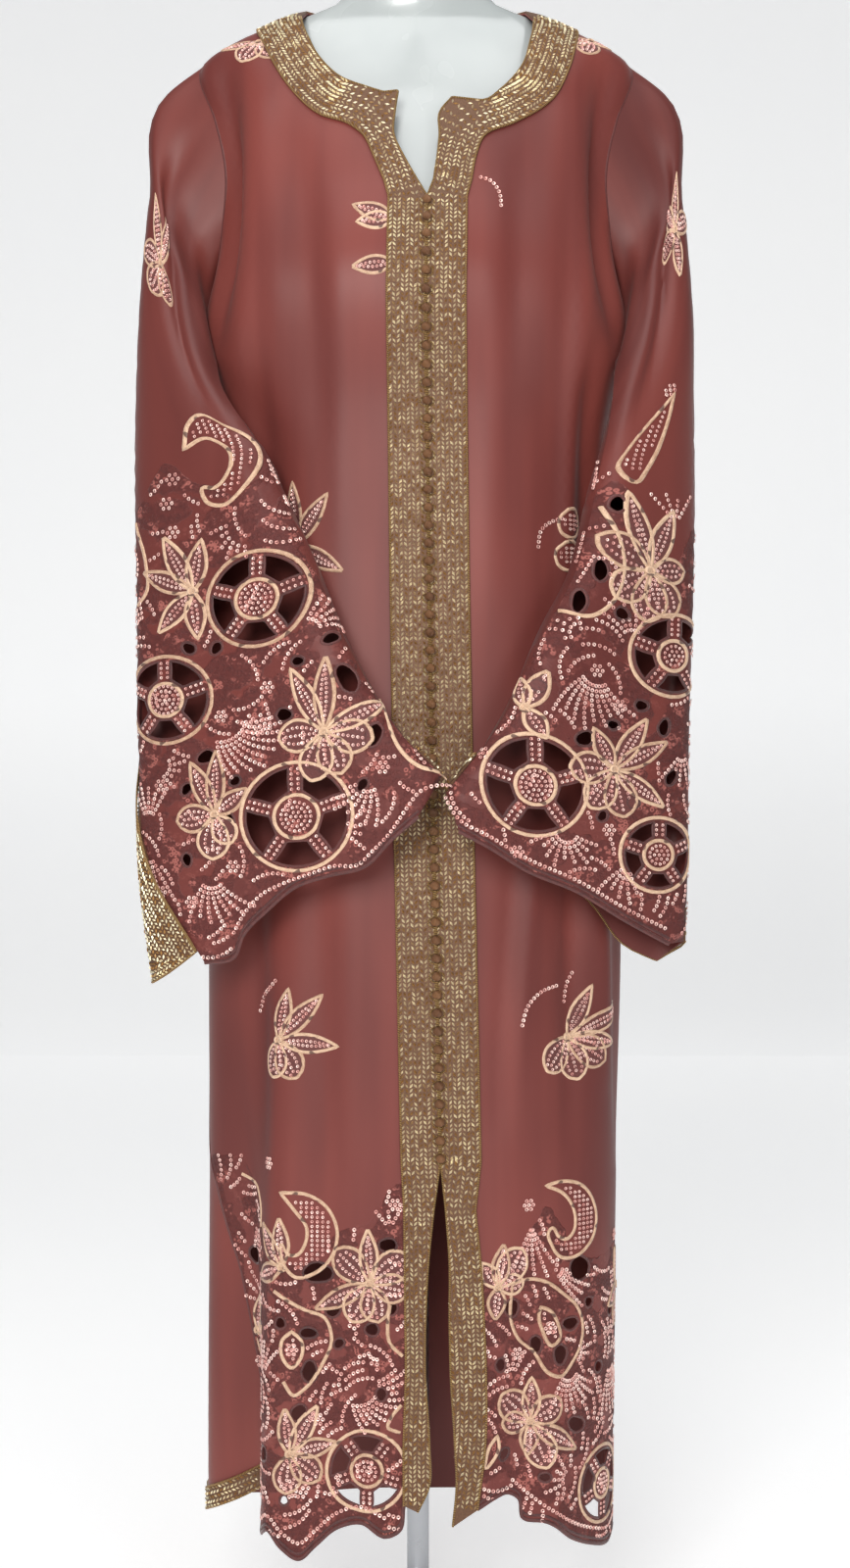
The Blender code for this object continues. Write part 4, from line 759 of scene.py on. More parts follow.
def satin(name, light, deep):
    """Satin of one panel: fine ribs, soft patches of painted sheen and painted shade in its colour, and
    the worked ground of the cutwork.
    """
    made = Finish(name, Sheen_Weight=0.03, Sheen_Roughness=0.45, Anisotropic=0.3)
    made.shader.inputs["Specular IOR Level"].default_value = 0.32
    spot = made.mapped("flat")
    # Streaks and soft patches move the colour between the shaded and the lit tone: painted sheen and
    # painted shade.
    painted_sheen_streaks = made.noise(made.stretched(spot, 26.0, 2.2), 1.0, 2.0)
    gloss_and_painted_sheen = made.noise(made.stretched(spot, 6.0, 2.6), 1.0, 2.0)
    ribs = made.noise(made.stretched(spot, 90.0, 1500.0), 1.0, 2.0)
    cloth = made.mix(made.step(0.35 * painted_sheen_streaks + 0.65 * gloss_and_painted_sheen, 0.34, 0.66), deep, light)
    worked = made.tone("worked")
    lobes = made.noise(spot, 34.0, 3.0)
    frayed = made.noise(spot, 170.0, 4.0)
    ground = made.step(worked + 0.62 * lobes + 0.16 * frayed, 0.9, 0.95)
    bare = made.step(made.noise(spot, 27.0, 2.0) + 0.1 * frayed, 0.58, 0.61)
    ground = ground - 0.85 * ground * bare
    cells = made.node("ShaderNodeTexVoronoi", {}, {"Vector": spot, "Scale": 245.0})
    ring = made.step(cells, 0.14, 0.28) * made.step(cells, 0.6, 0.44)
    # The rings are a painted pattern of sequins; in some patches they are lit up pink, as painted
    # glints.
    painted_glints = made.step(made.noise(spot, 62.0, 3.0), 0.5, 0.6)
    thread = made.mix(made.noise(spot, 210.0, 3.0), tint(66, 27, 26), tint(104, 47, 42))
    thread = made.mix(0.55 * ring * painted_glints, thread, tint(188, 112, 102))
    made.feed("Base Color", made.mix(ground, cloth, thread))
    made.feed("Roughness", made.step(gloss_and_painted_sheen, 0.3, 0.7, 0.52, 0.43) + 0.16 * ground)
    made.bump(0.1 * ribs + ground * (1.0 + ring + 0.8 * frayed), 0.00045, 0.9)
    return made


def worked_share(flat, loops):
    """How far each flat point lies inside the worked parts: 0.5 on their edges, 1 well inside."""
    share = np.zeros(len(flat))
    for loop in loops:
        loop = np.array(loop)
        away = distance(flat, loop, np.roll(loop, -1, axis=0))
        share = np.maximum(share, np.where(inside(flat, loop), 0.5 + away / 0.02, 0.5 - away / 0.02))
    return np.clip(share, 0, 1)


def cloth_panel(node, cut, lift, turn, look, work):
    """One panel of satin, from its flat net, as it hangs on the piece that carries it."""
    flat, tris = cut
    corners, faces = walled(flat, tris, lift, turn, 0.0, CLOTH)
    worked = worked_share(flat, work)
    made = make(f"{node}_satin", corners, faces, look, np.concatenate((flat, flat)),
                {"worked": np.concatenate((worked, worked * 0.0))})
    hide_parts(node)


# The satin's two tones are one cloth painted lit and painted shaded, for its painted sheen.
SATIN_PAINTED_LIT = tint(124, 59, 52)
SATIN_PAINTED_SHADED = tint(98, 44, 40)
SATIN_SHADE = tint(72, 31, 30)
SIDE_WORD = {-1: "left", 1: "right"}
fronts = {}
for side, word in SIDE_WORD.items():
    outline, braid, holes, band, free, hem = front_cut(side)
    cut = net(outline, holes, [braid], FRONT_NET)
    look = satin(f"satin_{word}", SATIN_PAINTED_LIT, SATIN_PAINTED_SHADED)
    cloth_panel(f"front_{word}", cut, body.front, 1, look, [HEM_WORK[side]])
    fronts[side] = {"outline": outline, "cut": cut, "braid": braid, "band": band, "free": free,
                    "hem": hem, "holes": holes}
outline, rise, collar, hem_band, neck_band, back_hem, back_neck = back_cut()
back_net = net(outline, [], [rise, collar], BACK_NET)
cloth_panel("back", back_net, body.back, -1, satin("satin_of_the_back", SATIN_PAINTED_LIT, SATIN_PAINTED_SHADED),
            [])

# The gold braids: flat woven bands of metal thread over a bronze ground, sewn down along the
# opening, round the neck and along the hems, with short bright stitches slanted in chevrons.

BRAID = 0.002
LIFT = 0.00036
LANE = 0.0041
STITCH_PITCH = 0.0043
STITCH = (0.0054, 0.0024, 0.0012)
SLANT = 34
EDGE_CORD = (0.0022, 0.0016)
# How far in from each braid's edge its stitches are laid out
FRONT_REACH = 0.085
NECK_REACH = 0.105
HEM_REACH = 0.022


class Batch:
    """Many small closed bodies gathered into one piece."""

    def __init__(self):
        self.corners = []
        self.faces = []
        self.flat = []
        self.tone = []
        self.count = 0

    def add(self, corners, faces, flat, tone):
        if isinstance(faces, np.ndarray):
            faces = faces.tolist()
        self.corners.append(np.asarray(corners))
        self.faces += [[index + self.count for index in face] for face in faces]
        self.flat.append(np.asarray(flat))
        self.tone.append(np.broadcast_to(tone, len(corners)))
        self.count += len(corners)

    def make(self, name, look):
        return make(name, np.concatenate(self.corners), self.faces, look,
                    np.concatenate(self.flat), {"tone": np.concatenate(self.tone)})


def across_lanes(lift, edge, turn, wide, samples=36):
    """Places over a braid: rows spaced evenly along its edge, and lanes spaced evenly across it."""
    place, _ = lift(edge)
    along = lengths(place)
    wanted = np.arange(STITCH_PITCH / 2, along[-1], STITCH_PITCH)
    edge = between(edge, along, wanted)
    ahead = np.gradient(edge, axis=0)
    side = np.column_stack((-ahead[:, 1], ahead[:, 0])) * turn
    side /= np.linalg.norm(side, axis=1)[:, None]
    reach = np.linspace(0, wide, samples)
    rays = edge[:, None] + side[:, None] * reach[None, :, None]
    places, normals = lift(rays.reshape(-1, 2))
    places = places.reshape(len(edge), samples, 3)
    normals = normals.reshape(places.shape)
    return rays, places, normals


def braid_stitches(batch, lift, edge, turn, wide, band, out, rng):
    """The slanted bright stitches of one braid, row by row and lane by lane."""
    rays, places, normals = across_lanes(lift, np.array(edge), turn, wide)
    long, broad, high = STITCH
    shape = np.array(((-long / 2, 0, 0), (0, -broad / 2, 0), (long / 2, 0, 0), (0, broad / 2, 0),
                      (-long / 5, 0, high), (long / 5, 0, high)))
    faces = ((0, 1, 4), (1, 5, 4), (1, 2, 5), (2, 3, 5), (3, 4, 5), (3, 0, 4), (3, 2, 1), (3, 1, 0))
    spots, downs, outs, flats, lanes = [], [], [], [], []
    runs = np.gradient(places, axis=0)
    for n in range(len(rays)):
        across = lengths(places[n])
        wanted = np.arange(LANE * 0.55, across[-1], LANE)
        for group, source in ((spots, places), (downs, runs), (outs, normals), (flats, rays)):
            group.append(between(source[n], across, wanted))
        lanes.append(np.arange(len(wanted)))
    keep = inside(np.concatenate(flats), band)
    spots, downs, outs, flats, lanes = (np.concatenate(group)[keep]
                                        for group in (spots, downs, outs, flats, lanes))
    downs /= np.linalg.norm(downs, axis=1)[:, None]
    sides = np.cross(outs, downs)
    slant = np.radians(SLANT + rng.uniform(-7, 7, len(spots))) * np.where(lanes % 2, 1, -1)
    first = downs * np.cos(slant)[:, None] + sides * np.sin(slant)[:, None]
    second = np.cross(outs, first)
    size = rng.uniform(0.82, 1.15, len(spots))
    middle = spots + outs * (out - 0.0002)
    corners = (middle[:, None]
               + shape[None, :, 0:1] * first[:, None] * size[:, None, None]
               + shape[None, :, 1:2] * second[:, None] * size[:, None, None]
               + shape[None, :, 2:3] * outs[:, None])
    count = len(spots)
    index = (np.arange(count) * len(shape))[:, None, None] + np.array(faces)[None]
    batch.add(corners.reshape(-1, 3), index.reshape(-1, 3), np.repeat(flats, len(shape), axis=0),
              np.repeat(rng.uniform(0, 1, count), len(shape)))


def even_line(curve, pitch, closed):
    """Evenly spaced points along a flat curve, and the directions to its left."""
    curve = np.array(curve, float)
    if closed:
        curve = np.concatenate((curve, curve[:1]))
    along = lengths(curve)
    count = max(round(along[-1] / pitch), 3)
    wanted = np.linspace(0, along[-1], count + 1)
    if closed:
        wanted = wanted[:-1]
    line = between(curve, along, wanted)
    if closed:
        ahead = np.roll(line, -1, axis=0) - np.roll(line, 1, axis=0)
    else:
        ahead = np.gradient(line, axis=0)
    left = np.column_stack((-ahead[:, 1], ahead[:, 0]))
    return line, left / np.maximum(np.linalg.norm(left, axis=1), 1e-9)[:, None], wanted


CORD_SECTION = ((-0.5, 0.0), (-0.33, 0.72), (0.0, 1.0), (0.33, 0.72), (0.5, 0.0))


def cord(batch, lift, curve, wide, high, closed=False, stand=0.0, tone=0.5, pitch=0.0024):
    """A raised cord of thread along a flat curve, as one closed body that follows the cloth."""
    line, left, along = even_line(curve, pitch, closed)
    rings = []
    for across, up in CORD_SECTION:
        place, normal = lift(line + left * (across * wide))
        rings.append(place + normal * (stand - 0.0002 + up * high))
    count, sides = len(line), len(CORD_SECTION)
    corners = np.stack(rings, axis=1).reshape(-1, 3)
    n = np.arange(count if closed else count - 1)[:, None]
    k = np.arange(sides)[None]
    a, b = n * sides + k, n * sides + (k + 1) % sides
    c, d = (b + sides) % (count * sides), (a + sides) % (count * sides)
    faces = np.stack((b, a, d, c), axis=-1).reshape(-1, 4).tolist()
    if not closed:
        faces.append(list(range(sides)))
        faces.append(list(range(count * sides - 1, (count - 1) * sides - 1, -1)))
    flat = np.column_stack((np.repeat(along, sides), np.tile([s[0] for s in CORD_SECTION], count)))
    batch.add(corners, faces, flat, tone)


bronze = Finish("bronze_braid_ground", Metallic=0.35)
bronze_spot = bronze.mapped("flat")
weave = bronze.noise(bronze.stretched(bronze_spot, 900.0, 420.0), 1.0, 3.0)
wear = bronze.noise(bronze_spot, 26.0, 3.0)
bronze.feed("Base Color", bronze.mix(weave, tint(56, 34, 26), tint(126, 90, 62)))
bronze.feed("Roughness", 0.42 + 0.25 * wear)
bronze.bump(weave, 0.0006, 0.8)

gold = Finish("gold_stitches", Metallic=0.72)
gold_tone = gold.tone("tone")
gold_wear = gold.noise(gold.mapped("flat"), 34.0, 3.0)
bright = gold.step(gold_tone + 0.35 * gold_wear, 0.34, 0.8)
gold_ridges = gold.noise(gold.stretched(gold.mapped("flat"), 2600.0, 900.0), 1.0, 1.0)
gold.feed("Base Color", gold.mix(bright, tint(158, 118, 68), tint(255, 244, 208)))
gold.feed("Roughness", 0.5 - 0.16 * bright)
gold.bump(gold_ridges, 0.0002, 0.5)

rope = Finish("twisted_edge_cord", Metallic=0.45)
rope_run = rope.mapped("flat")
# The grooves of the twist are painted dark and its crowns light, as painted shade and painted
# highlight.
turns = rope.node("ShaderNodeMath", {"operation": "SINE"},
                  {0: 3900.0 * rope.part(rope_run, "X") + 3.0 * rope.part(rope_run, "Y")})
rope.feed("Base Color", rope.mix(rope.step(turns, -0.6, 0.7), tint(84, 56, 34), tint(196, 160, 104)))
rope.feed("Roughness", 0.45 + 0.1 * turns)
rope.bump(turns, 0.0005, 0.8)

rng = np.random.default_rng(11)


def braid_piece(word, cut, band, lift, turn, runs, lines):
    """One braid: its band, its stitches run by run, and the cords along its edges."""
    flat, tris = region(*cut, band)
    corners, faces = walled(flat, tris, lift, turn, LIFT + BRAID, BRAID)
    made = make(f"braid_{word}_band", corners, faces, bronze, np.concatenate((flat, flat)))
    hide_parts(f"braid_{word}")
    batch = Batch()
    for edge, edge_turn, reach, strip in runs:
        braid_stitches(batch, lift, edge, edge_turn, reach, strip, LIFT + BRAID, rng)
    stitches = batch.make(f"braid_{word}_stitches", gold)
    batch = Batch()
    for line in lines:
        cord(batch, lift, line, *EDGE_CORD, stand=LIFT + BRAID - 0.0004)
    edges = batch.make(f"braid_{word}_cords", rope)
    return made


for side, word in SIDE_WORD.items():
    part = fronts[side]
    braid_piece(f"front_{word}", part["cut"], part["band"], body.front, 1,
                [(part["braid"], side, FRONT_REACH, part["band"])], [part["braid"], part["free"]])
braid_piece("back_neck", back_net, neck_band, body.back, -1, [(collar, 1, NECK_REACH, neck_band)],
            [collar, back_neck])
braid_piece("back_hem", back_net, hem_band, body.back, -1, [(rise, -1, HEM_REACH, hem_band)],
            [rise, back_hem])

# The closing: a row of 54 small knotted buttons of twisted cord on a rib between the two braids,
# each held by a loop of gold cord on either side.

BUTTON_COUNT = 54
BUTTON_RADIUS = 0.0046
BUTTON_SIDES = 14
BUTTON_ROWS = 9
LOOP_REACH = 0.007
LOOP_RADIUS = 0.0008


def ball(batch, middle, across, up, out, tone):
    """One knotted ball, with three strands lapping round it."""
    corners = []
    flat = []
    for j in range(BUTTON_ROWS + 1):
        lift_angle = math.pi * j / BUTTON_ROWS
        for k in range(BUTTON_SIDES):
            angle = 2 * math.pi * k / BUTTON_SIDES
            knot = 1 + 0.07 * math.cos(3 * angle + 2.4 * math.sin(2 * lift_angle))
            r = BUTTON_RADIUS * knot
            ring = max(math.sin(lift_angle), 0.03)
            corners.append(middle + r * (ring * (math.cos(angle) * across + math.sin(angle) * out
                                                 * 0.9) + math.cos(lift_angle) * up * 0.92))
            flat.append((angle / 6.283, lift_angle / 3.142))
    faces = []
    for j in range(BUTTON_ROWS):
        for k in range(BUTTON_SIDES):
            a, b = j * BUTTON_SIDES + k, j * BUTTON_SIDES + (k + 1) % BUTTON_SIDES
            faces.append((a, b, b + BUTTON_SIDES, a + BUTTON_SIDES))
    batch.add(corners, faces, flat, tone)


button_cord = Finish("button_cord", Metallic=0.2)
button_tone = button_cord.tone("tone")
button_spot = button_cord.mapped("flat")
# Each button's random tone is painted darker in the grooves of its twists, as painted shade.
twists_with_groove_shade = button_cord.node("ShaderNodeTexWave", {"bands_direction": "DIAGONAL"},
                          {"Vector": button_cord.stretched(button_spot, 6.0, 5.0), "Scale": 1.4,
                           "Distortion": 2.0})
button_cord.feed("Base Color", button_cord.mix(0.35 * button_tone + 0.45 * twists_with_groove_shade,
                                               tint(74, 40, 30), tint(166, 118, 74)))
button_cord.feed("Roughness", 0.42 + 0.18 * twists_with_groove_shade)
button_cord.bump(twists_with_groove_shade, 0.0006, 0.9)
batch = Batch()
loops = Batch()
rows_h, rows_q = buttoned_rows(400)
rail, rail_out = body.front(np.column_stack((rows_q, rows_h)))
button_rng = np.random.default_rng(5)
low_h, high_h = rows_h[0] + 0.004, rows_h[-1] - 0.006
for n in range(BUTTON_COUNT):
    h = low_h + (high_h - low_h) * n / (BUTTON_COUNT - 1)
    spot, out = (between(line, rows_h, [h])[0] for line in (rail, rail_out))
    out /= np.linalg.norm(out)
    across = np.cross(out, (0, 0, 1))
    across /= np.linalg.norm(across)
    up = np.cross(across, out)
    middle = spot + out * (LIFT + BRAID + BUTTON_RADIUS * 0.78)
    ball(batch, middle, across, up, out, button_rng.uniform(0.2, 0.9))
    q = float(np.interp(h, rows_h, rows_q))
    for turn in (-1, 1):
        bend = [(q + turn * LOOP_REACH * math.sin(a), h - 0.005 * math.cos(a) - 0.001)
                for a in np.linspace(0.15, math.pi - 0.15, 7)]
        cord(loops, body.front, bend, 2.2 * LOOP_RADIUS, 1.8 * LOOP_RADIUS,
             stand=LIFT + BRAID - 0.0002, tone=0.7, pitch=0.0018)
spine = [(float(np.interp(h, rows_h, rows_q)), float(h)) for h in np.linspace(low_h, high_h, 200)]
cord(loops, body.front, spine, 0.0042, 0.0026, stand=LIFT + BRAID - 0.0003, tone=0.2, pitch=0.006)
buttons = batch.make("buttons_knotted", button_cord)
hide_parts("buttons_front")
loops.make("button_loops", rope)

# The sleeves: each a wide tube of satin, cut as a front and a back half and sewn along both
# edges. The front half is cut through between its motifs; braid lies inside the cuff's back half.

# Sleeve sections: outer edge x, y, z, inner edge x, y, z, and half the flattened thickness
SLEEVE_ROWS = {
    -1: ((-0.252, 0.0, 1.552, -0.201, -0.004, 1.333, 0.02),
         (-0.264, -0.012, 1.445, -0.204, -0.044, 1.298, 0.026),
         (-0.268, -0.026, 1.33, -0.194, -0.088, 1.248, 0.029),
         (-0.269, -0.037, 1.2, -0.154, -0.13, 1.186, 0.029),
         (-0.2685, -0.057, 1.033, -0.11, -0.156, 1.096, 0.028),
         (-0.266, -0.077, 0.879, -0.0625, -0.182, 0.988, 0.026),
         (-0.262, -0.092, 0.765, -0.0165, -0.198, 0.91, 0.024),
         (-0.2505, -0.102, 0.679, 0.023, -0.207, 0.869, 0.022),
         (-0.24, -0.11, 0.6, 0.056, -0.213, 0.832, 0.021)),
    1: ((0.252, 0.0, 1.552, 0.201, -0.004, 1.333, 0.022),
        (0.264, -0.012, 1.445, 0.206, -0.042, 1.299, 0.026),
        (0.268, -0.026, 1.33, 0.197, -0.087, 1.247, 0.029),
        (0.266, -0.037, 1.2, 0.176, -0.124, 1.164, 0.029),
        (0.2635, -0.057, 1.033, 0.15, -0.152, 1.059, 0.028),
        (0.261, -0.077, 0.889, 0.111, -0.182, 0.983, 0.026),
        (0.26, -0.092, 0.784, 0.074, -0.198, 0.91, 0.024),
        (0.257, -0.102, 0.705, 0.029, -0.207, 0.853, 0.022),
        (0.254, -0.11, 0.62, -0.015, -0.213, 0.8, 0.021))}
# How square each section is, from the first one below the armhole
SLEEVE_SQUARE = (2.0, 2.2, 2.6, 3.0, 3.2, 3.2, 3.2, 3.2, 3.2)
# How the sleeve heads are drawn flat, from the armhole down: outer edge x, z and inner edge x, z
SLEEVE_HEAD = {-1: ((-0.168, 1.558, 0.012, 1.385), (-0.192, 1.52, -0.012, 1.369),
                    (-0.219, 1.431, -0.071, 1.339), (-0.248, 1.326, -0.122, 1.28)),
               1: ((0.137, 1.537, -0.03, 1.351), (0.164, 1.5, -0.005, 1.337),
                   (0.197, 1.414, 0.056, 1.311), (0.23, 1.313, 0.118, 1.257))}
SLEEVE_WHEELS = {-1: ((-0.142, 1.036, 0.044, 0.018, 90), (-0.224, 0.948, 0.042, 0.016, 90),
                      (-0.105, 0.833, 0.05, 0.02, 92)),
                 1: ((0.107, 0.861, 0.046, 0.0175, 90), (0.218, 0.801, 0.036, 0.014, 90),
                     (0.228, 0.99, 0.038, 0.014, 90))}
SLEEVE_GAPS = {
    -1: ((-0.178, 0.994, 0.014, 0.01, 60), (-0.179, 0.943, 0.026, 0.01, 80),
         (-0.064, 0.956, 0.03, 0.015, -60), (-0.039, 0.904, 0.022, 0.013, 80),
         (-0.116, 0.927, 0.015, 0.012, 0), (-0.188, 0.892, 0.018, 0.012, 30),
         (-0.047, 0.86, 0.014, 0.009, 60), (-0.166, 0.829, 0.022, 0.01, 90),
         (-0.16, 0.868, 0.012, 0.009, 40), (-0.202, 0.996, 0.014, 0.01, -45),
         (-0.105, 0.975, 0.012, 0.009, 0), (-0.079, 0.993, 0.016, 0.01, 20),
         (-0.205, 0.862, 0.014, 0.009, 60), (-0.205, 0.795, 0.014, 0.009, 100)),
    1: ((0.19, 1.122, 0.016, 0.01, 80), (0.17, 1.104, 0.014, 0.01, 60),
        (0.168, 1.061, 0.022, 0.01, 80), (0.15, 1.03, 0.024, 0.01, 75),
        (0.183, 1.024, 0.014, 0.011, -30), (0.123, 0.989, 0.026, 0.014, 60),
        (0.112, 0.95, 0.014, 0.01, 0), (0.201, 0.942, 0.012, 0.01, 0), (0.176, 0.922, 0.012, 0.009, 0),
        (0.221, 0.923, 0.018, 0.01, 80), (0.15, 0.907, 0.018, 0.013, 30),
        (0.229, 0.876, 0.018, 0.01, 60), (0.166, 0.836, 0.012, 0.009, 60),
        (0.194, 0.85, 0.012, 0.01, 0), (0.08, 0.925, 0.012, 0.009, 60), (0.2, 1.075, 0.012, 0.009, 90))}
# Cut edges of the front sleeve halves at the cuffs, from the inner edge to the outer one
CUFF = {-1: ((0.002, 0.83), (-0.022, 0.809), (-0.043, 0.787), (-0.078, 0.778), (-0.105, 0.769),
             (-0.132, 0.747), (-0.154, 0.724), (-0.163, 0.703), (-0.19, 0.698)),
        1: ((0.04, 0.817), (0.065, 0.804), (0.099, 0.783), (0.143, 0.765), (0.188, 0.738),
            (0.23, 0.715))}
CUFF_TIP = {-1: 8.05, 1: 8.02}
CUFF_OUTER = {-1: 6.0, 1: 7.95}
# Lower edge of the back sleeve halves: how far along the sleeve, and the share across it
BACK_CUFF = {-1: ((8.0, 0.8), (8.02, 0.55), (8.05, 0.3), (8.08, 0.12), (8.1, 0.0), (8.12, -0.1),
                  (8.1, -0.19)),
             1: ((7.98, 0.8), (8.02, 0.55), (8.2, 0.35), (8.42, 0.2), (8.36, 0.1))}
WEDGE = {-1: ((7.6, -0.15), (7.1, -0.105), (6.6, -0.055)), 1: ()}
CUFF_BRAID = 0.42
CUFF_REACH = 0.078
STITCH_LINE = 0.003
# The left cuff's braid turns up the slanted opening: how far along, and the share across
CUFF_TURN = ((7.62, 0.15), (7.3, 0.12), (6.85, 0.08), (6.4, 0.035))
EDGE_SHARE = 0.0008
SLEEVE_NET = (0.0085, 0.0095)
SLEEVE_WORK = {-1: ((-0.29, 1.05), (-0.266, 1.115), (-0.236, 1.15), (-0.222, 1.172), (-0.205, 1.15),
                    (-0.165, 1.13), (-0.138, 1.168), (-0.112, 1.14), (-0.09, 1.07), (0.08, 0.89),
                    (0.08, 0.78), (-0.17, 0.6), (-0.29, 0.6)),
               1: ((0.06, 0.99), (0.145, 1.06), (0.165, 1.11), (0.19, 1.15), (0.205, 1.12),
                   (0.216, 1.035), (0.246, 1.11), (0.3, 1.11), (0.3, 0.6), (0.0, 0.76), (-0.01, 0.85))}
SLEEVE_CREASES = {
    -1: ((-0.215, 1.52, -0.235, 1.06, 0.016, 0.0035), (-0.13, 1.5, -0.19, 1.12, 0.011, -0.0085),
         (-0.06, 1.44, -0.16, 1.14, 0.012, 0.007), (-0.18, 1.16, -0.19, 0.78, 0.013, -0.003),
         (-0.12, 1.12, -0.06, 0.84, 0.012, 0.0028)),
    1: ((0.19, 1.5, 0.238, 1.08, 0.015, 0.0035), (0.11, 1.48, 0.205, 1.14, 0.011, -0.0085),
        (0.04, 1.4, 0.165, 1.15, 0.012, 0.007), (0.2, 1.12, 0.18, 0.8, 0.013, -0.0028),
        (0.15, 1.06, 0.1, 0.84, 0.012, 0.0028))}


class Sleeve:
    """A flattened sleeve: loops from the armhole to past the cuff, each a front and a back half."""

    across = 48
    along = 10

    def __init__(self, side):
        self.side = side
        front_hole, back_hole = armhole(side, 24)
        front_loop = self.even(body.front(front_hole)[0])
        back_loop = self.even(body.back(back_hole)[0])
        fronts = [front_loop]
        backs = [back_loop]
        outer = [front_loop[0]]
        inner = [front_loop[-1]]
        for row in SLEEVE_ROWS[side]:
            outer.append(np.array(row[0:3]))
            inner.append(np.array(row[3:6]))
        keys = lengths((np.array(outer) + np.array(inner)) / 2)
        for k, row in enumerate(SLEEVE_ROWS[side], start=1):
            half_front, half_back = self.section(outer[k], inner[k], row[6],
                                                 2 / SLEEVE_SQUARE[k - 1])
            fronts.append(half_front)
            backs.append(half_back)
        wanted = np.interp(np.linspace(0, len(keys) - 1, (len(keys) - 1) * self.along + 1),
                           range(len(keys)), keys)
        self.front_rows = spline(keys, np.array(fronts), wanted)
        self.back_rows = spline(keys, np.array(backs), wanted)
        head = SLEEVE_HEAD[side]
        flat = list(head)
        flat += [(a[0], a[2], b[0], b[2]) for a, b in zip(outer[len(head):], inner[len(head):])]
        flat = spline(keys, np.array(flat), wanted)
        self.outer = flat[:, 0:2]
        self.inner = flat[:, 2:4]

    def even(self, points):
        """The same line with its points spread evenly."""
        along = lengths(points)
        return between(points, along, np.linspace(0, along[-1], self.across + 1))

    def section(self, outer, inner, thick, power):
        """The two halves of one flattened loop, each from the outer edge to the inner edge."""
        span = inner - outer
        wide = np.linalg.norm(span)
        right = span / wide
        forward = right[1] * right - np.array((0, 1, 0))
        forward /= np.linalg.norm(forward)
        turn = np.linspace(0, math.pi, 240)
        x = -np.sign(np.cos(turn)) * np.abs(np.cos(turn)) ** power * wide / 2
        y = np.abs(np.sin(turn)) ** power * thick
        middle = (outer + inner) / 2
        front = middle + x[:, None] * right + y[:, None] * forward
        back = middle + x[:, None] * right - y[:, None] * forward
        return self.even(front), self.even(back)

    def flat_grid(self, past):
        """Flat x and z of the grid, with columns past the outer edge and one past the inner."""
        share = np.arange(-past, self.across + 2) / self.across
        outer = self.outer[:, None, :]
        inner = self.inner[:, None, :]
        return outer + (inner - outer) * share[None, :, None]

    def place(self, v, share):
        """Flat place on the sleeve from the station along it and the share across it."""
        rows = np.arange(len(self.outer)) / self.along
        outer = np.array([np.interp(v, rows, self.outer[:, k]) for k in (0, 1)])
        inner = np.array([np.interp(v, rows, self.inner[:, k]) for k in (0, 1)])
        spot = outer + (inner - outer) * share
        return (float(spot[0]), float(spot[1]))

    def lifter(self, rows, flat, turn):
        """A function from flat points to places and outward directions on the sleeve."""
        count_up, count_across = flat.shape[:2]
        flats = flat.reshape(-1, 2)
        table = np.column_stack((rows.reshape(-1, 3), outward(rows, turn).reshape(-1, 3)))
        j, i = np.mgrid[0:count_up - 1, 0:count_across - 1]
        a = (j * count_across + i).ravel()
        b = a + count_across
        tris = np.stack((np.column_stack((a, a + 1, b + 1)),
                         np.column_stack((a, b + 1, b))), axis=1).reshape(-1, 3)
        tree = BVHTree.FromPolygons([Vector((x, z, 0)) for x, z in flats], tris.tolist())

        def lift(points):
            points = np.asarray(points, float)
            found = [tree.find_nearest(Vector((x, z, 0))) for x, z in points]
            spot = np.array([tuple(f[0]) for f in found])[:, :2]
            corner = tris[[f[2] for f in found]]
            p, q, r = (flats[corner[:, k]] for k in range(3))
            area = (q[:, 0] - p[:, 0]) * (r[:, 1] - p[:, 1]) - (r[:, 0] - p[:, 0]) * (q[:, 1] - p[:, 1])
            away = spot - p
            u = (away[:, 0] * (r[:, 1] - p[:, 1]) - (r[:, 0] - p[:, 0]) * away[:, 1]) / area
            v = ((q[:, 0] - p[:, 0]) * away[:, 1] - away[:, 0] * (q[:, 1] - p[:, 1])) / area
            first = table[corner[:, 0]]
            read = (first + u[:, None] * (table[corner[:, 1]] - first)
                    + v[:, None] * (table[corner[:, 2]] - first))
            out = read[:, 3:] / np.linalg.norm(read[:, 3:], axis=1)[:, None]
            rise = creased(points, SLEEVE_CREASES[self.side])[:, None]
            return read[:, :3] + out * rise, out
        return lift

    def wrapped(self, rows, others, past, turn):
        """A function from flat points to one half, which runs on round both its edges."""
        before = others[:, past:0:-1]
        after = others[:, -2:-3:-1]
        return self.lifter(np.concatenate((before, rows, after), axis=1), self.flat_grid(past),
                           turn)


def armhole_shares(side, back):
    """How far the armhole's points lie along it, as shares of its length."""
    flat = armhole(side)[1 if back else 0]
    along = lengths((body.back(flat) if back else body.front(flat))[0])
    return np.clip(along / along[-1], EDGE_SHARE, 1 - EDGE_SHARE)


def sleeve_front_cut(sleeve):
    """The front half of a sleeve drawn flat, its holes and its cut edge."""
    side = sleeve.side
    top = [sleeve.place(0, s) for s in armhole_shares(side, False)]
    inner = [sleeve.place(v, 1 - EDGE_SHARE) for v in np.arange(0.2, CUFF_TIP[side], 0.15)]
    inner.append(sleeve.place(CUFF_TIP[side], 1 - EDGE_SHARE))
    outer = [sleeve.place(v, EDGE_SHARE) for v in np.arange(0.2, CUFF_OUTER[side] - 0.05, 0.15)]
    outer.append(sleeve.place(CUFF_OUTER[side], EDGE_SHARE))
    edge = rows_of(smooth(CUFF[side], 0.004))
    wedge = [sleeve.place(v, EDGE_SHARE - s) for v, s in WEDGE[side]]
    outline = top + inner + edge + wedge + outer[::-1]
    return outline, cutwork(SLEEVE_WHEELS[side], SLEEVE_GAPS[side], outline, []), edge


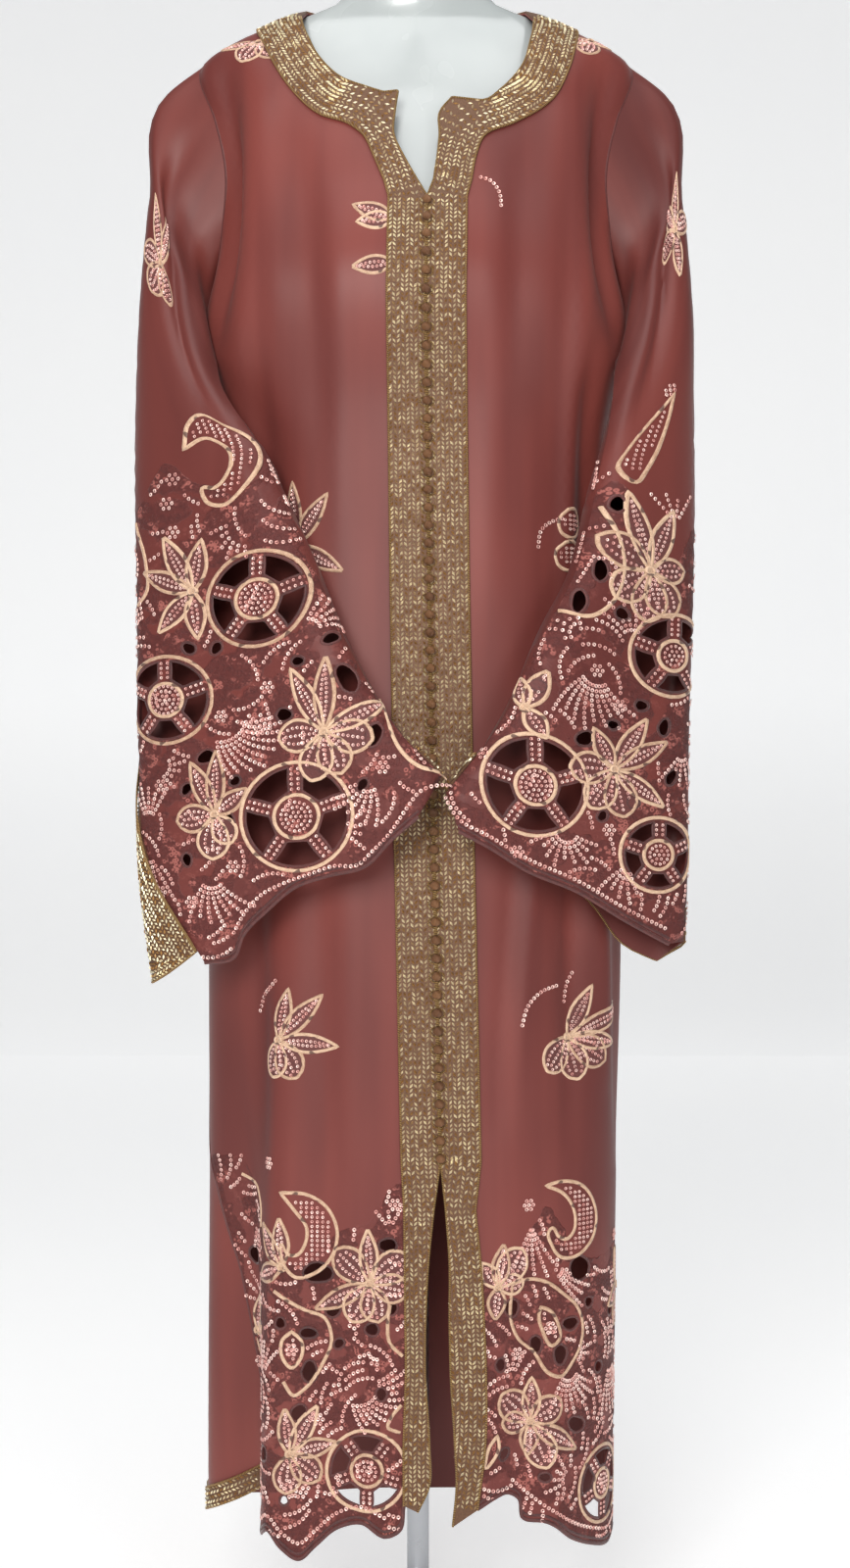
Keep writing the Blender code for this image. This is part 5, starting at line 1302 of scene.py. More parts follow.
def sleeve_back_cut(sleeve):
    """The back half of a sleeve drawn flat, its braid's inner and outer line, outline and runs."""
    side = sleeve.side
    top = [sleeve.place(0, s) for s in armhole_shares(side, True)]
    inner = [sleeve.place(v, 1 - EDGE_SHARE) for v in np.arange(0.2, 7.55, 0.15)]
    tip = (CUFF_TIP[side] - 0.05, 1 - EDGE_SHARE)
    lower = smooth((tip,) + BACK_CUFF[side], 0.05)
    hem = [sleeve.place(v, s) for v, s in lower]
    rise = [inner[-1]] + [sleeve.place(v - CUFF_BRAID, s) for v, s in lower[1:]
                          if side > 0 or s > CUFF_TURN[0][1]]
    outer = [sleeve.place(v, EDGE_SHARE) for v in np.arange(0.2, CUFF_OUTER[side] - 0.3, 0.15)]
    if side < 0:
        outer.append(sleeve.place(CUFF_OUTER[side], EDGE_SHARE))
        rise += [sleeve.place(v, s) for v, s in CUFF_TURN] + [outer[-1]]
        wedge = [sleeve.place(v, s) for v, s in WEDGE[side]]
    else:
        rise.append(outer[-1])
        hem.append(sleeve.place(CUFF_OUTER[side], EDGE_SHARE))
        wedge = []
    outline = top + inner + hem + wedge + outer[::-1]
    free = hem + wedge + ([outer[-1]] if wedge else [])
    band = free + rise[::-1]
    if side > 0:
        return outline, rise, band, free, [(smooth(rise, STITCH_LINE), -side, CUFF_REACH, band)]
    turned = rise[-len(CUFF_TURN) - 1:]
    level = rise[:-len(CUFF_TURN)]
    upright = [hem[-1]] + wedge + [outer[-1]]
    runs = [(smooth(hem, STITCH_LINE), side, CUFF_REACH, hem + level[::-1]),
            (smooth(upright, STITCH_LINE), side, CUFF_REACH, upright + turned[::-1])]
    return outline, rise, band, free, runs


# The two halves make the tube.
# The sleeves are the body's satin painted darker, as painted shade, again in a lit and a shaded tone.
SLEEVE_PAINTED_LIT = tint(112, 53, 47)
SLEEVE_PAINTED_SHADED = tint(86, 38, 35)
sleeves = {}
for side, word in SIDE_WORD.items():
    sleeve = Sleeve(side)
    look = satin(f"satin_sleeve_{word}", SLEEVE_PAINTED_LIT, SLEEVE_PAINTED_SHADED)
    lift = sleeve.wrapped(sleeve.front_rows, sleeve.back_rows, 4, side)
    outline, holes, edge = sleeve_front_cut(sleeve)
    cut = net(outline, holes, [], SLEEVE_NET)
    cloth_panel(f"sleeve_{word}_front", cut, lift, 1, look, [SLEEVE_WORK[side]])
    sleeves[side] = {"outline": outline, "lift": lift, "holes": holes, "edge": edge}
    lift = sleeve.wrapped(sleeve.back_rows, sleeve.front_rows, 14, -side)
    outline, rise, band, hem, runs = sleeve_back_cut(sleeve)
    cut = net(outline, [], [rise], SLEEVE_NET)
    cloth_panel(f"sleeve_{word}_back", cut, lift, -1, look, [])
    braid_piece(f"cuff_{word}", cut, band, lift, -1, runs, [rise, hem])

# The seams: the turned edges of the satin make a fine roll down each side, over each shoulder and
# round each armhole, sewn with thread of the cloth's own colour.

ROLL = (0.0026, 0.0009)
rolled = Finish("rolled_seam", Sheen_Weight=0.1)
seam_run = rolled.mapped("flat")
tucks_and_their_shade = rolled.noise(rolled.stretched(seam_run, 420.0, 2.0), 1.0, 2.0)
# The rolls are coloured in the satin's painted shade tones, darkest in their tucks.
rolled.feed("Base Color", rolled.mix(tucks_and_their_shade, SATIN_SHADE, SATIN_PAINTED_SHADED))
rolled.feed("Roughness", 0.4 + 0.2 * tucks_and_their_shade)
rolled.bump(tucks_and_their_shade, 0.0004, 0.7)
batch = Batch()
for side in SIDE_WORD:
    front_hole, back_hole = armhole(side, 90)
    cord(batch, body.front, front_hole, *ROLL, pitch=0.004)
    cord(batch, body.back, back_hole, *ROLL, pitch=0.004)
    cord(batch, body.front, seam_line(side, SEAM_ROWS, 0.0), *ROLL, pitch=0.006)
    cord(batch, body.front, seam_line(side, SHOULDER_ROWS[:7], 0.0), *ROLL, pitch=0.004)
batch.make("seam_rolls", rolled)

# The needlework: flowers, wheels and crescents outlined in raised ivory satin stitch, filled with
# rows of copper ring sequins, and every cut edge bound in maroon thread.

IVORY = (0.0036, 0.0013)
MAROON = (0.0026, 0.001)
# The two bindings along a scalloped edge, and the step between them
RIM = (0.004, 0.0014)
RIM_INNER = (0.003, 0.001)
RIM_STEP = 0.005
LEAF_WIDTH = 0.0165
ROUND_WIDTH = 0.029
ROUND_SHARE = 0.72
SEQUIN = 0.0021
SMALL_SEQUIN = 0.0017
SEQUIN_SIDES = 8
# Rows of sequins over the ground: how many are tried, how long, and how far from the motifs
ROW_SEEDS = 1500
ROW_LENGTH = 7
ROW_CLEAR = 0.004
# Closed outlines whose box is larger than this are left open in the middle
FILLED = 0.006
FILL_CLEAR = 0.0038
# Flowers: middle, pointed leaves as turn and length, and round petals as turn and length
FLOWERS = {
    "sleeve_left": (
        (-0.198, 1.049, ((117, 0.058), (155, 0.051), (82, 0.047), (229, 0.048), (275, 0.045)), ()),
        (-0.081, 0.909, ((117, 0.067), (91, 0.068), (26, 0.062)),
         ((185, 0.04), (256, 0.045), (293, 0.041), (348, 0.042))),
        (-0.179, 0.837, ((114, 0.055), (89, 0.061), (38, 0.038)),
         ((189, 0.035), (267, 0.042), (300, 0.031))),
        (-0.182, 1.368, ((100, 0.062), (62, 0.056)), ((168, 0.036), (235, 0.04), (285, 0.036)))),
    "sleeve_right": (
        (0.207, 1.065, ((98, 0.069), (67, 0.06)),
         ((141, 0.044), (220, 0.04), (267, 0.046), (294, 0.044), (5, 0.03))),
        (0.177, 0.88, ((60, 0.058), (117, 0.042), (32, 0.056), (-36, 0.056)),
         ((180, 0.04), (239, 0.043), (282, 0.045))),
        (0.101, 0.929, ((60, 0.04), (100, 0.03), (-58, 0.03)), ()),
        (0.17, 1.378, ((95, 0.05), (140, 0.04), (-70, 0.048)), ((210, 0.034), (20, 0.03)))),
    "front_left": (
        (-0.133, 0.617, ((78, 0.05), (45, 0.062), (-4, 0.06)), ((-60, 0.04), (-100, 0.036))),
        (-0.119, 1.088, ((93, 0.062), (55, 0.06), (-27, 0.056)), ()),
        (-0.043, 0.391, ((92, 0.051), (206, 0.058)),
         ((136, 0.045), (36, 0.045), (-12, 0.037), (-77, 0.037), (244, 0.04))),
        (-0.127, 0.404, ((127, 0.048), (94, 0.046), (201, 0.04)), ()),
        (-0.119, 0.229, ((96, 0.043), (60, 0.053), (15, 0.046)), ((-40, 0.037), (-96, 0.037))),
        (-0.156, 1.624, ((185, 0.046),), ((-118, 0.04), (-62, 0.04))),
        (-0.02, 1.396, ((160, 0.042), (185, 0.036)), ()), (-0.02, 1.352, ((185, 0.04),), ()),
        (-0.2, 0.33, ((70, 0.04), (20, 0.036)), ((-50, 0.03),))),
    "front_right": (
        (0.178, 1.636, ((-5, 0.04),), ((-105, 0.036), (-155, 0.034))),
        (0.154, 0.618, ((62, 0.055), (20, 0.085), (-8, 0.06)),
         ((-30, 0.05), (-75, 0.042), (-130, 0.04))),
        (0.247, 0.367, ((113, 0.042), (80, 0.038), (200, 0.039)), ((249, 0.039), (-90, 0.038))),
        (0.078, 0.386, ((82, 0.041), (-95, 0.03), (122, 0.028)), ((55, 0.043), (9, 0.026))),
        (0.111, 0.257, ((88, 0.042), (-32, 0.058), (-95, 0.032)),
         ((136, 0.04), (180, 0.028), (35, 0.035), (-70, 0.046))))}
# Other ivory outlines; a closed one ends where it starts
OUTLINES = {
    "sleeve_left": (
        ((-0.207, 1.177), (-0.199, 1.202), (-0.185, 1.214), (-0.166, 1.202), (-0.154, 1.169),
         (-0.159, 1.14), (-0.175, 1.123), (-0.19, 1.128), (-0.194, 1.141), (-0.185, 1.139),
         (-0.174, 1.153), (-0.175, 1.175), (-0.188, 1.187), (-0.207, 1.177)),
        ((-0.024, 0.943), (-0.027, 0.921), (-0.018, 0.893), (0.0005, 0.875), (0.0356, 0.87)),
        ((-0.255, 1.117), (-0.242, 1.08), (-0.242, 1.051), (-0.253, 1.04))),
    "sleeve_right": (
        ((0.2136, 1.225), (0.2, 1.196), (0.192, 1.173), (0.1894, 1.16), (0.203, 1.142), (0.2124, 1.16),
         (0.217, 1.2), (0.2136, 1.225)),
        ((0.1802, 1.12), (0.1858, 1.092), (0.1839, 1.055), (0.1747, 1.033), (0.1561, 1.018),
         (0.134, 1.02))),
    "front_left": (
        ((-0.129, 0.474), (-0.103, 0.473), (-0.084, 0.462), (-0.074, 0.442), (-0.076, 0.422),
         (-0.094, 0.4), (-0.113, 0.395), (-0.124, 0.405), (-0.127, 0.427), (-0.12, 0.416),
         (-0.112, 0.416), (-0.105, 0.425), (-0.103, 0.442), (-0.114, 0.457), (-0.129, 0.474)),
        ((-0.135, 0.381), (-0.103, 0.364), (-0.086, 0.358), (-0.079, 0.338), (-0.088, 0.314),
         (-0.103, 0.292), (-0.115, 0.284), (-0.125, 0.297)),
        ((-0.117, 0.344), (-0.108, 0.336), (-0.108, 0.32), (-0.117, 0.31), (-0.126, 0.32),
         (-0.126, 0.336), (-0.117, 0.344)),
        ((-0.024, 0.371), (-0.026, 0.354), (-0.024, 0.335), (-0.012, 0.323)),
        ((-0.013, 0.277), (-0.021, 0.268), (-0.026, 0.256), (-0.014, 0.251)),
        ((-0.2, 0.482), (-0.175, 0.472), (-0.163, 0.455), (-0.165, 0.437))),
    "front_right": (
        ((0.127, 0.479), (0.145, 0.482), (0.166, 0.477), (0.181, 0.462), (0.187, 0.445),
         (0.183, 0.427), (0.171, 0.415), (0.156, 0.409), (0.141, 0.411), (0.133, 0.422), (0.13, 0.436),
         (0.134, 0.439), (0.14, 0.43), (0.149, 0.427), (0.157, 0.434), (0.159, 0.445), (0.156, 0.457),
         (0.146, 0.47), (0.127, 0.479)),
        ((0.092, 0.388), (0.11, 0.392), (0.125, 0.389), (0.144, 0.376), (0.161, 0.361), (0.168, 0.344),
         (0.165, 0.324), (0.154, 0.309), (0.14, 0.298), (0.128, 0.303), (0.114, 0.323), (0.099, 0.336),
         (0.092, 0.351), (0.092, 0.388)),
        ((0.121, 0.365), (0.129, 0.362), (0.138, 0.348), (0.14, 0.334), (0.132, 0.328), (0.122, 0.344),
         (0.119, 0.358), (0.121, 0.365)),
        ((0.078, 0.246), (0.08, 0.236), (0.073, 0.222), (0.067, 0.216), (0.07, 0.236), (0.078, 0.246)),
        ((0.153, 1.125), (0.144, 1.116), (0.146, 1.102), (0.158, 1.097), (0.169, 1.105), (0.17, 1.118),
         (0.162, 1.126), (0.153, 1.125)),
        ((0.15, 1.093), (0.14, 1.084), (0.143, 1.07), (0.156, 1.065), (0.168, 1.074), (0.168, 1.087),
         (0.16, 1.094), (0.15, 1.093)),
        ((0.172, 1.088), (0.18, 1.08), (0.18, 1.066), (0.172, 1.058), (0.165, 1.066)))}
# Sequin swirls: middle, first and last turn, near and far reach, rows, and how far the rows bend
SWIRLS = {
    "sleeve_left": (
        (-0.15, 1.105, 180, 262, 0.018, 0.036, 5, 10), (-0.173, 0.929, -100, -18, 0.022, 0.066, 7, 24),
        (-0.042, 0.866, -150, -60, 0.01, 0.044, 6, -20), (-0.242, 0.83, 60, 120, 0.008, 0.04, 5, 0),
        (-0.242, 0.8, -110, -60, 0.006, 0.05, 4, 0), (-0.182, 0.78, -130, -50, 0.01, 0.05, 6, 14),
        (-0.14, 1.14, 30, 110, 0.006, 0.026, 4, 0), (-0.1, 1.0, 20, 80, 0.01, 0.044, 5, -12),
        (-0.13, 0.905, 80, 150, 0.008, 0.036, 5, 16), (-0.245, 1.02, 100, 160, 0.006, 0.03, 4, 0),
        (-0.232, 0.885, -60, 20, 0.01, 0.03, 4, 10), (-0.065, 0.82, -40, 40, 0.006, 0.03, 4, 0)),
    "sleeve_right": (
        (0.161, 0.97, -150, -62, 0.012, 0.056, 7, 16), (0.15, 1.0, 100, 200, 0.008, 0.028, 5, 0),
        (0.192, 1.0, 60, 130, 0.008, 0.044, 5, 12), (0.134, 0.82, -170, -30, 0.008, 0.034, 7, 8),
        (0.165, 1.135, 40, 110, 0.006, 0.03, 4, 0), (0.24, 0.9, -130, -60, 0.006, 0.036, 5, 0),
        (0.19, 0.79, -150, -80, 0.006, 0.036, 5, 10), (0.17, 1.08, -120, -60, 0.006, 0.036, 4, 0),
        (0.232, 1.11, 60, 130, 0.004, 0.03, 4, 0)),
    "front_left": (
        (-0.056, 0.297, -100, 5, 0.02, 0.05, 8, 22), (-0.056, 0.297, 150, 205, 0.014, 0.028, 4, 0),
        (-0.063, 0.344, -40, 80, 0.005, 0.018, 4, 0), (-0.024, 0.443, 60, 130, 0.004, 0.026, 3, 0),
        (-0.036, 0.328, -160, -90, 0.006, 0.022, 4, 0), (-0.115, 0.182, 60, 120, 0.006, 0.03, 4, 0),
        (-0.18, 0.44, -120, -60, 0.008, 0.04, 5, 10), (-0.15, 0.3, 60, 150, 0.006, 0.04, 5, -10),
        (-0.19, 0.24, -120, -50, 0.006, 0.04, 5, 0), (-0.07, 0.19, 100, 170, 0.004, 0.024, 3, 0),
        (-0.15, 0.2, -160, -60, 0.004, 0.024, 4, 0)),
    "front_right": (
        (0.112, 0.44, -120, -60, 0.0, 0.052, 4, 4), (0.135, 0.4, -60, -10, 0.006, 0.052, 5, 10),
        (0.158, 0.318, -60, 40, 0.006, 0.026, 5, 0), (0.15, 0.305, -130, -40, 0.01, 0.048, 7, 12),
        (0.215, 0.3, -120, -40, 0.008, 0.06, 6, 14), (0.215, 0.32, 60, 130, 0.006, 0.03, 4, 0),
        (0.092, 0.3, 60, 130, 0.006, 0.03, 4, 0), (0.262, 0.22, -130, -60, 0.006, 0.05, 5, 0),
        (0.15, 0.2, 120, 200, 0.006, 0.028, 4, 0), (0.262, 0.33, -120, -60, 0.006, 0.03, 4, 0))}
ROSETTES = {
    "sleeve_left": (
        (-0.217, 1.151), (-0.222, 1.13), (-0.216, 1.104), (-0.131, 0.953), (-0.229, 0.866),
        (-0.03, 0.875), (-0.201, 0.755), (-0.231, 0.764), (-0.162, 0.788), (-0.173, 0.929),
        (-0.122, 1.127)),
    "sleeve_right": (
        (0.064, 0.887), (0.182, 0.94), (0.172, 0.823), (0.161, 0.97), (0.208, 1.228), (0.09, 0.8)),
    "front_left": (
        (-0.019, 0.465), (-0.117, 0.327), (-0.16, 0.33), (-0.092, 0.262), (-0.2, 0.3), (-0.145, 0.5)),
    "front_right": ((0.098, 0.322), (0.13, 0.345), (0.109, 0.462), (0.228, 0.42), (0.13, 0.225))}
# Single lines of sequins
CHAINS = {
    "sleeve_left": (
        ((0.034, 0.858), (0.004, 0.853), (-0.009, 0.836), (-0.022, 0.816), (-0.04, 0.797),
         (-0.049, 0.788), (-0.072, 0.787), (-0.09, 0.781), (-0.116, 0.772), (-0.136, 0.762),
         (-0.151, 0.746), (-0.164, 0.723)),),
    "sleeve_right": (
        ((0.029, 0.848), (0.04, 0.828), (0.065, 0.814), (0.099, 0.794), (0.143, 0.775), (0.188, 0.749),
         (0.226, 0.73)),
        ((0.105, 1.088), (0.112, 1.105), (0.128, 1.112))),
    "front_left": (
        ((-0.166, 0.64), (-0.158, 0.658), (-0.145, 0.666), (-0.134, 0.676)),
        ((-0.027, 0.17), (-0.051, 0.18), (-0.073, 0.175), (-0.096, 0.156), (-0.11, 0.145),
         (-0.127, 0.156), (-0.142, 0.17), (-0.16, 0.162), (-0.176, 0.168))),
    "front_right": (
        ((0.12, 1.085), (0.124, 1.104), (0.137, 1.113), (0.148, 1.116)),
        ((0.06, 1.44), (0.072, 1.436), (0.08, 1.425), (0.082, 1.408)),
        ((0.1, 0.63), (0.106, 0.65), (0.124, 0.664), (0.14, 0.668)),
        ((0.15, 0.65), (0.154, 0.668), (0.162, 0.682)),
        ((0.092, 0.204), (0.108, 0.19), (0.126, 0.177), (0.156, 0.157), (0.185, 0.145), (0.212, 0.139),
         (0.24, 0.148), (0.264, 0.143)))}


def turned(x, y, turn, along, across):
    """Flat points of a motif that lies at a turn, from how far they are along and across it."""
    turn = math.radians(turn)
    return np.column_stack((x + along * math.cos(turn) - across * math.sin(turn),
                            y + along * math.sin(turn) + across * math.cos(turn)))


def petal_half(wide, blunt):
    """Shares along a petal, and half its width at each."""
    t = np.linspace(0, 1, 13)
    return t, wide / 2 * (np.sin(np.pi * t**1.3) ** 0.62 if blunt else np.sin(np.pi * t**0.92))


def petal(x, y, turn, long, wide, blunt):
    """The outline of one petal, from the flower's middle."""
    t, half = petal_half(wide, blunt)
    return turned(x, y, turn, np.concatenate((t, t[-2:0:-1])) * long,
                  np.concatenate((half, -half[-2:0:-1])))


def pad(batch, lift, x, y, turn, long, wide, blunt, tone):
    """A thin ground of thread that fills one petal."""
    t, half = petal_half(wide, blunt)
    shares = np.linspace(-1, 1, 5)
    flat = turned(x, y, turn, np.repeat(t * long, len(shares)), np.outer(half, shares).ravel())
    rows, columns = len(t), len(shares)
    j, i = np.mgrid[0:rows - 1, 0:columns - 1]
    a = (j * columns + i).ravel()
    tris = np.concatenate((np.column_stack((a, a + columns, a + columns + 1)),
                           np.column_stack((a, a + columns + 1, a + 1))))
    corners, faces = walled(flat, tris, lift, -1, 0.0005, 0.0008)
    batch.add(corners, faces, np.concatenate((flat, flat)), tone)


def ring_line(x, y, radius, count=36):
    angle = np.arange(count) * 2 * math.pi / count
    return np.column_stack((x + radius * np.cos(angle), y + radius * np.sin(angle)))


def dotted(curve, pitch):
    """Places spaced evenly along a flat curve."""
    along = lengths(curve)
    return between(curve, along, np.arange(pitch / 2, along[-1], pitch))


def petal_sequins(x, y, turn, long, wide, blunt):
    """Rows of small sequins over one petal."""
    t, half = petal_half(wide, blunt)
    spots = []
    lanes = (-0.66, 0.0, 0.66) if blunt else (-0.42, 0.42)
    for n, lane in enumerate(lanes):
        u = np.arange(0.16 + 0.05 * (n % 2), 0.88, 0.0041 / long)
        v = lane * np.maximum(np.interp(u, t, half) - 0.003, 0)
        spots.append(turned(x, y, turn, u * long, v))
    return np.concatenate(spots)


def swirl_lines(x, y, first, last, near, far, rows, bend):
    """The rows of one fan of sequins, as flat curves."""
    lines = []
    rows = max(rows, round(math.radians(abs(last - first)) * (near + far) / 2 / 0.006))
    for turn in np.linspace(first, last, rows):
        r = np.linspace(near, far, 8)
        angle = np.radians(turn + bend * (r - near) / max(far - near, 1e-6))
        lines.append(np.column_stack((x + r * np.cos(angle), y + r * np.sin(angle))))
    return lines


def sequins(batch, lift, spots, radius, rng):
    """Ring sequins sewn flat at some places: each a small cupped disc with a hole."""
    spots = np.asarray(spots, float)
    place, out = lift(spots)
    ahead, _ = lift(spots + (0.0006, 0))
    first = ahead - place
    first -= out * (first * out).sum(axis=1)[:, None]
    first /= np.maximum(np.linalg.norm(first, axis=1), 1e-9)[:, None]
    tip = out + first * rng.normal(0, 0.1, len(spots))[:, None]
    second = np.cross(tip, first)
    second += tip * rng.normal(0, 0.1, len(spots))[:, None]
    second /= np.linalg.norm(second, axis=1)[:, None]
    tip = np.cross(first, second)
    angle = np.arange(SEQUIN_SIDES) * 2 * math.pi / SEQUIN_SIDES
    rings = ((1.0, 0.00035), (0.82, 0.00095), (0.36, 0.00055))
    corners = []
    for reach, high in rings:
        corners.append(place[:, None] + radius * reach * (np.cos(angle)[None, :, None] * first[:, None]
                       + np.sin(angle)[None, :, None] * second[:, None]) + high * tip[:, None])
    corners = np.concatenate(corners, axis=1)
    k = np.arange(SEQUIN_SIDES)
    after = (k + 1) % SEQUIN_SIDES
    faces = []
    for low, high in ((0, 1), (1, 2), (2, 0)):
        faces.append(np.stack((low * SEQUIN_SIDES + k, low * SEQUIN_SIDES + after,
                               high * SEQUIN_SIDES + after, high * SEQUIN_SIDES + k), axis=1))
    faces = np.concatenate(faces)
    total = len(rings) * SEQUIN_SIDES
    index = (np.arange(len(spots)) * total)[:, None, None] + faces[None]
    batch.add(corners.reshape(-1, 3), index.reshape(-1, 4), np.repeat(spots, total, axis=0),
              np.repeat(rng.uniform(0, 1, len(spots)), total))


def filling_rows(work, kept_to, kept_from, curves, rng):
    """Short bending rows of sequins over the worked ground, clear of the motifs and the holes."""
    work = np.array(work)
    curves = [np.array(curve) for curve in curves]
    starts = np.concatenate([curve[:-1] for curve in curves])
    ends = np.concatenate([curve[1:] for curve in curves])
    seeds = rng.uniform(work.min(axis=0), work.max(axis=0), (ROW_SEEDS, 2))
    turn = 1.2 + 1.6 * np.sin(31 * seeds[:, 0] + 4) + 1.4 * np.sin(27 * seeds[:, 1])
    step = np.arange(ROW_LENGTH)[None]
    angle = turn[:, None] + 0.16 * step
    run = np.stack((np.cos(angle), np.sin(angle)), axis=-1) * 0.0047
    spots = seeds[:, None] + np.cumsum(run, axis=1) - run
    flat = spots.reshape(-1, 2)
    clear = inside(flat, work) & inside(flat, kept_to) & ~inside(flat, kept_from)
    clear[clear] = distance(flat[clear], starts, ends) > ROW_CLEAR
    clear = np.logical_and.accumulate(clear.reshape(ROW_SEEDS, ROW_LENGTH), axis=1)
    taken = np.empty((0, 2))
    for row, free in zip(spots, clear):
        row = row[free]
        if len(row) < 3:
            continue
        if len(taken) and np.linalg.norm(row[:, None] - taken[None], axis=-1).min() < 0.0052:
            continue
        taken = np.concatenate((taken, row))
    return taken


def needlework(word, lift, wheels, holes, edge, work, kept_to, kept_from):
    """All the needlework of one panel: ivory stitch, maroon binding, and sequins."""
    rng = np.random.default_rng(len(word) * 7)
    curves = [hole + hole[:1] for hole in holes]
    ivory, binding, rings, pads = Batch(), Batch(), Batch(), Batch()
    small, large = [], []
    for x, y, leaves, rounds in FLOWERS[word]:
        petals = [(turn, long, LEAF_WIDTH, False) for turn, long in leaves]
        petals += [(turn, long, min(ROUND_WIDTH, long * ROUND_SHARE), True)
                   for turn, long in rounds]
        for shape in petals:
            curves.append(petal(x, y, *shape))
            cord(ivory, lift, curves[-1], *IVORY, closed=True, tone=rng.uniform())
            pad(pads, lift, x, y, *shape, rng.uniform())
            small.append(petal_sequins(x, y, *shape))
        cord(ivory, lift, ring_line(x, y, 0.0034, 12), 0.003, 0.0024, closed=True, tone=0.9,
             pitch=0.0018)
    for x, y, rim, hub, turn in wheels:
        for radius in (rim, hub):
            curves.append(ring_line(x, y, radius))
            cord(ivory, lift, curves[-1], *IVORY, closed=True, tone=rng.uniform())
        for k in range(5):
            angle = math.radians(turn) + 2 * math.pi * k / 5
            ahead = np.array((math.cos(angle), math.sin(angle)))
            left = np.array((-ahead[1], ahead[0]))
            for lane in (-0.003, 0.003):
                r = np.arange(hub + 0.0055, rim - 0.004, 0.0046)
                small.append(np.array((x, y)) + r[:, None] * ahead + lane * left)
        for radius in np.arange(0.0045, hub - 0.0025, 0.0044):
            small.append(ring_line(x, y, radius, max(int(6.283 * radius / 0.0042), 5)))
        small.append(np.array(((x, y),)))
    for points in OUTLINES[word]:
        closed = points[0] == points[-1]
        line = smooth(points, 0.004)
        curves.append(line)
        cord(ivory, lift, line[:-1] if closed else line, *IVORY, closed=closed, tone=rng.uniform())
        low, high = np.min(points, axis=0), np.max(points, axis=0)
        if closed and np.prod(high - low) < FILLED:
            across, up = np.meshgrid(np.arange(low[0], high[0], 0.0052),
                                     np.arange(low[1], high[1], 0.0044))
            fill = np.column_stack((across.ravel(), up.ravel()))
            looped = np.array(points[:-1])
            fill = fill[inside(fill, looped)]
            small.append(fill[distance(fill, looped, np.roll(looped, -1, axis=0)) > FILL_CLEAR])
    for row in SWIRLS[word]:
        for n, line in enumerate(swirl_lines(*row)):
            spots = dotted(line, 0.0046)
            large.append(spots[:max(len(spots) - (n * 5) % 3, 1)])
    for x, y in ROSETTES[word]:
        large.append(ring_line(x, y, 0.0046, 6))
        large.append(np.array(((x, y),)))
    for line in CHAINS[word]:
        large.append(dotted(smooth(line, 0.004), 0.0048))
    for hole in holes:
        cord(binding, lift, hole, *MAROON, closed=True, tone=rng.uniform())
    if edge is not None:
        cord(binding, lift, edge, *RIM, tone=0.6)
        cord(binding, lift, np.array(edge) + (0.0, RIM_STEP), *RIM_INNER, tone=0.3)
    curves += [spots for spots in large if len(spots) > 1]
    large.append(filling_rows(work, kept_to, kept_from, curves, rng))
    for group, radius in ((small, SMALL_SEQUIN), (large, SEQUIN)):
        spots = np.concatenate(group)
        for hole in holes:
            spots = spots[~inside(spots, hole)]
        sequins(rings, lift, spots, radius, rng)
    ivory.make(f"{word}_ivory_stitch", ivory_thread)
    binding.make(f"{word}_bound_edges", maroon_thread)
    pads.make(f"{word}_filled_petals", maroon_ground)
    rings.make(f"{word}_sequins", sequin_foil)


def thread(name, dark, light, breaks):
    """Satin stitch: fine threads across the run, uneven in tone, with small dark breaks."""
    made = Finish(name, Sheen_Weight=0.3, Sheen_Roughness=0.4)
    run = made.mapped("flat")
    strands = made.noise(made.stretched(run, 1900.0, 3.0), 1.0, 2.0)
    cloudy = made.noise(made.stretched(run, 160.0, 1.5), 1.0, 2.0)
    tone = made.tone("tone")
    colour = made.mix(made.step(0.6 * strands + 0.5 * cloudy + 0.15 * tone, 0.42, 0.78), dark, light)
    cuts = made.noise(made.stretched(run, 95.0, 0.6), 1.0, 0.0)
    colour = made.mix(made.step(cuts, 0.66, 0.7) * breaks, colour, tint(70, 34, 28))
    made.feed("Base Color", colour)
    made.feed("Roughness", 0.62 - 0.22 * strands)
    made.bump(strands, 0.0005, 0.8)
    return made


ivory_thread = thread("ivory_thread", tint(168, 128, 102), tint(218, 184, 154), 0.85)
maroon_thread = thread("maroon_thread", tint(52, 20, 20), tint(92, 40, 36), 0.3)
maroon_ground = Finish("filled_ground", Sheen_Weight=0.15)
ground_spot = maroon_ground.mapped("flat")
ground_rows = maroon_ground.noise(maroon_ground.stretched(ground_spot, 420.0, 420.0), 1.0, 4.0)
maroon_ground.feed("Base Color", maroon_ground.mix(ground_rows + 0.1 * maroon_ground.tone("tone"),
                                                   tint(62, 24, 24), tint(110, 52, 46)))
maroon_ground.feed("Roughness", 0.55 + 0.2 * ground_rows)
maroon_ground.bump(ground_rows, 0.0008, 0.9)
sequin_foil = Finish("copper_sequins", Metallic=0.6)
foil_tone = sequin_foil.tone("tone")
scuffs = sequin_foil.noise(sequin_foil.mapped("flat"), 260.0, 2.0)
sequin_foil.feed("Base Color", sequin_foil.mix(0.8 * foil_tone + 0.3 * scuffs,
                                               tint(206, 134, 126), tint(255, 222, 212)))
sequin_foil.feed("Roughness", 0.3 + 0.22 * scuffs)
for side, word in SIDE_WORD.items():
    part = fronts[side]
    needlework(f"front_{word}", body.front, HEM_WHEELS[side], part["holes"], part["hem"],
               HEM_WORK[side], part["outline"], part["band"])
    part = sleeves[side]
    needlework(f"sleeve_{word}", part["lift"], SLEEVE_WHEELS[side], part["holes"], part["edge"],
               SLEEVE_WORK[side], part["outline"], part["holes"][0])

# The studio: a pale floor that runs up into a pale wall, large soft lights, and the camera at the
# photograph's place, level with the hips.

FLOOR_WIDE = 16.0
FLOOR_NEAR = -7.0
WALL_BACK = 6.0
WALL_TOP = 9.0
BEND = 1.2


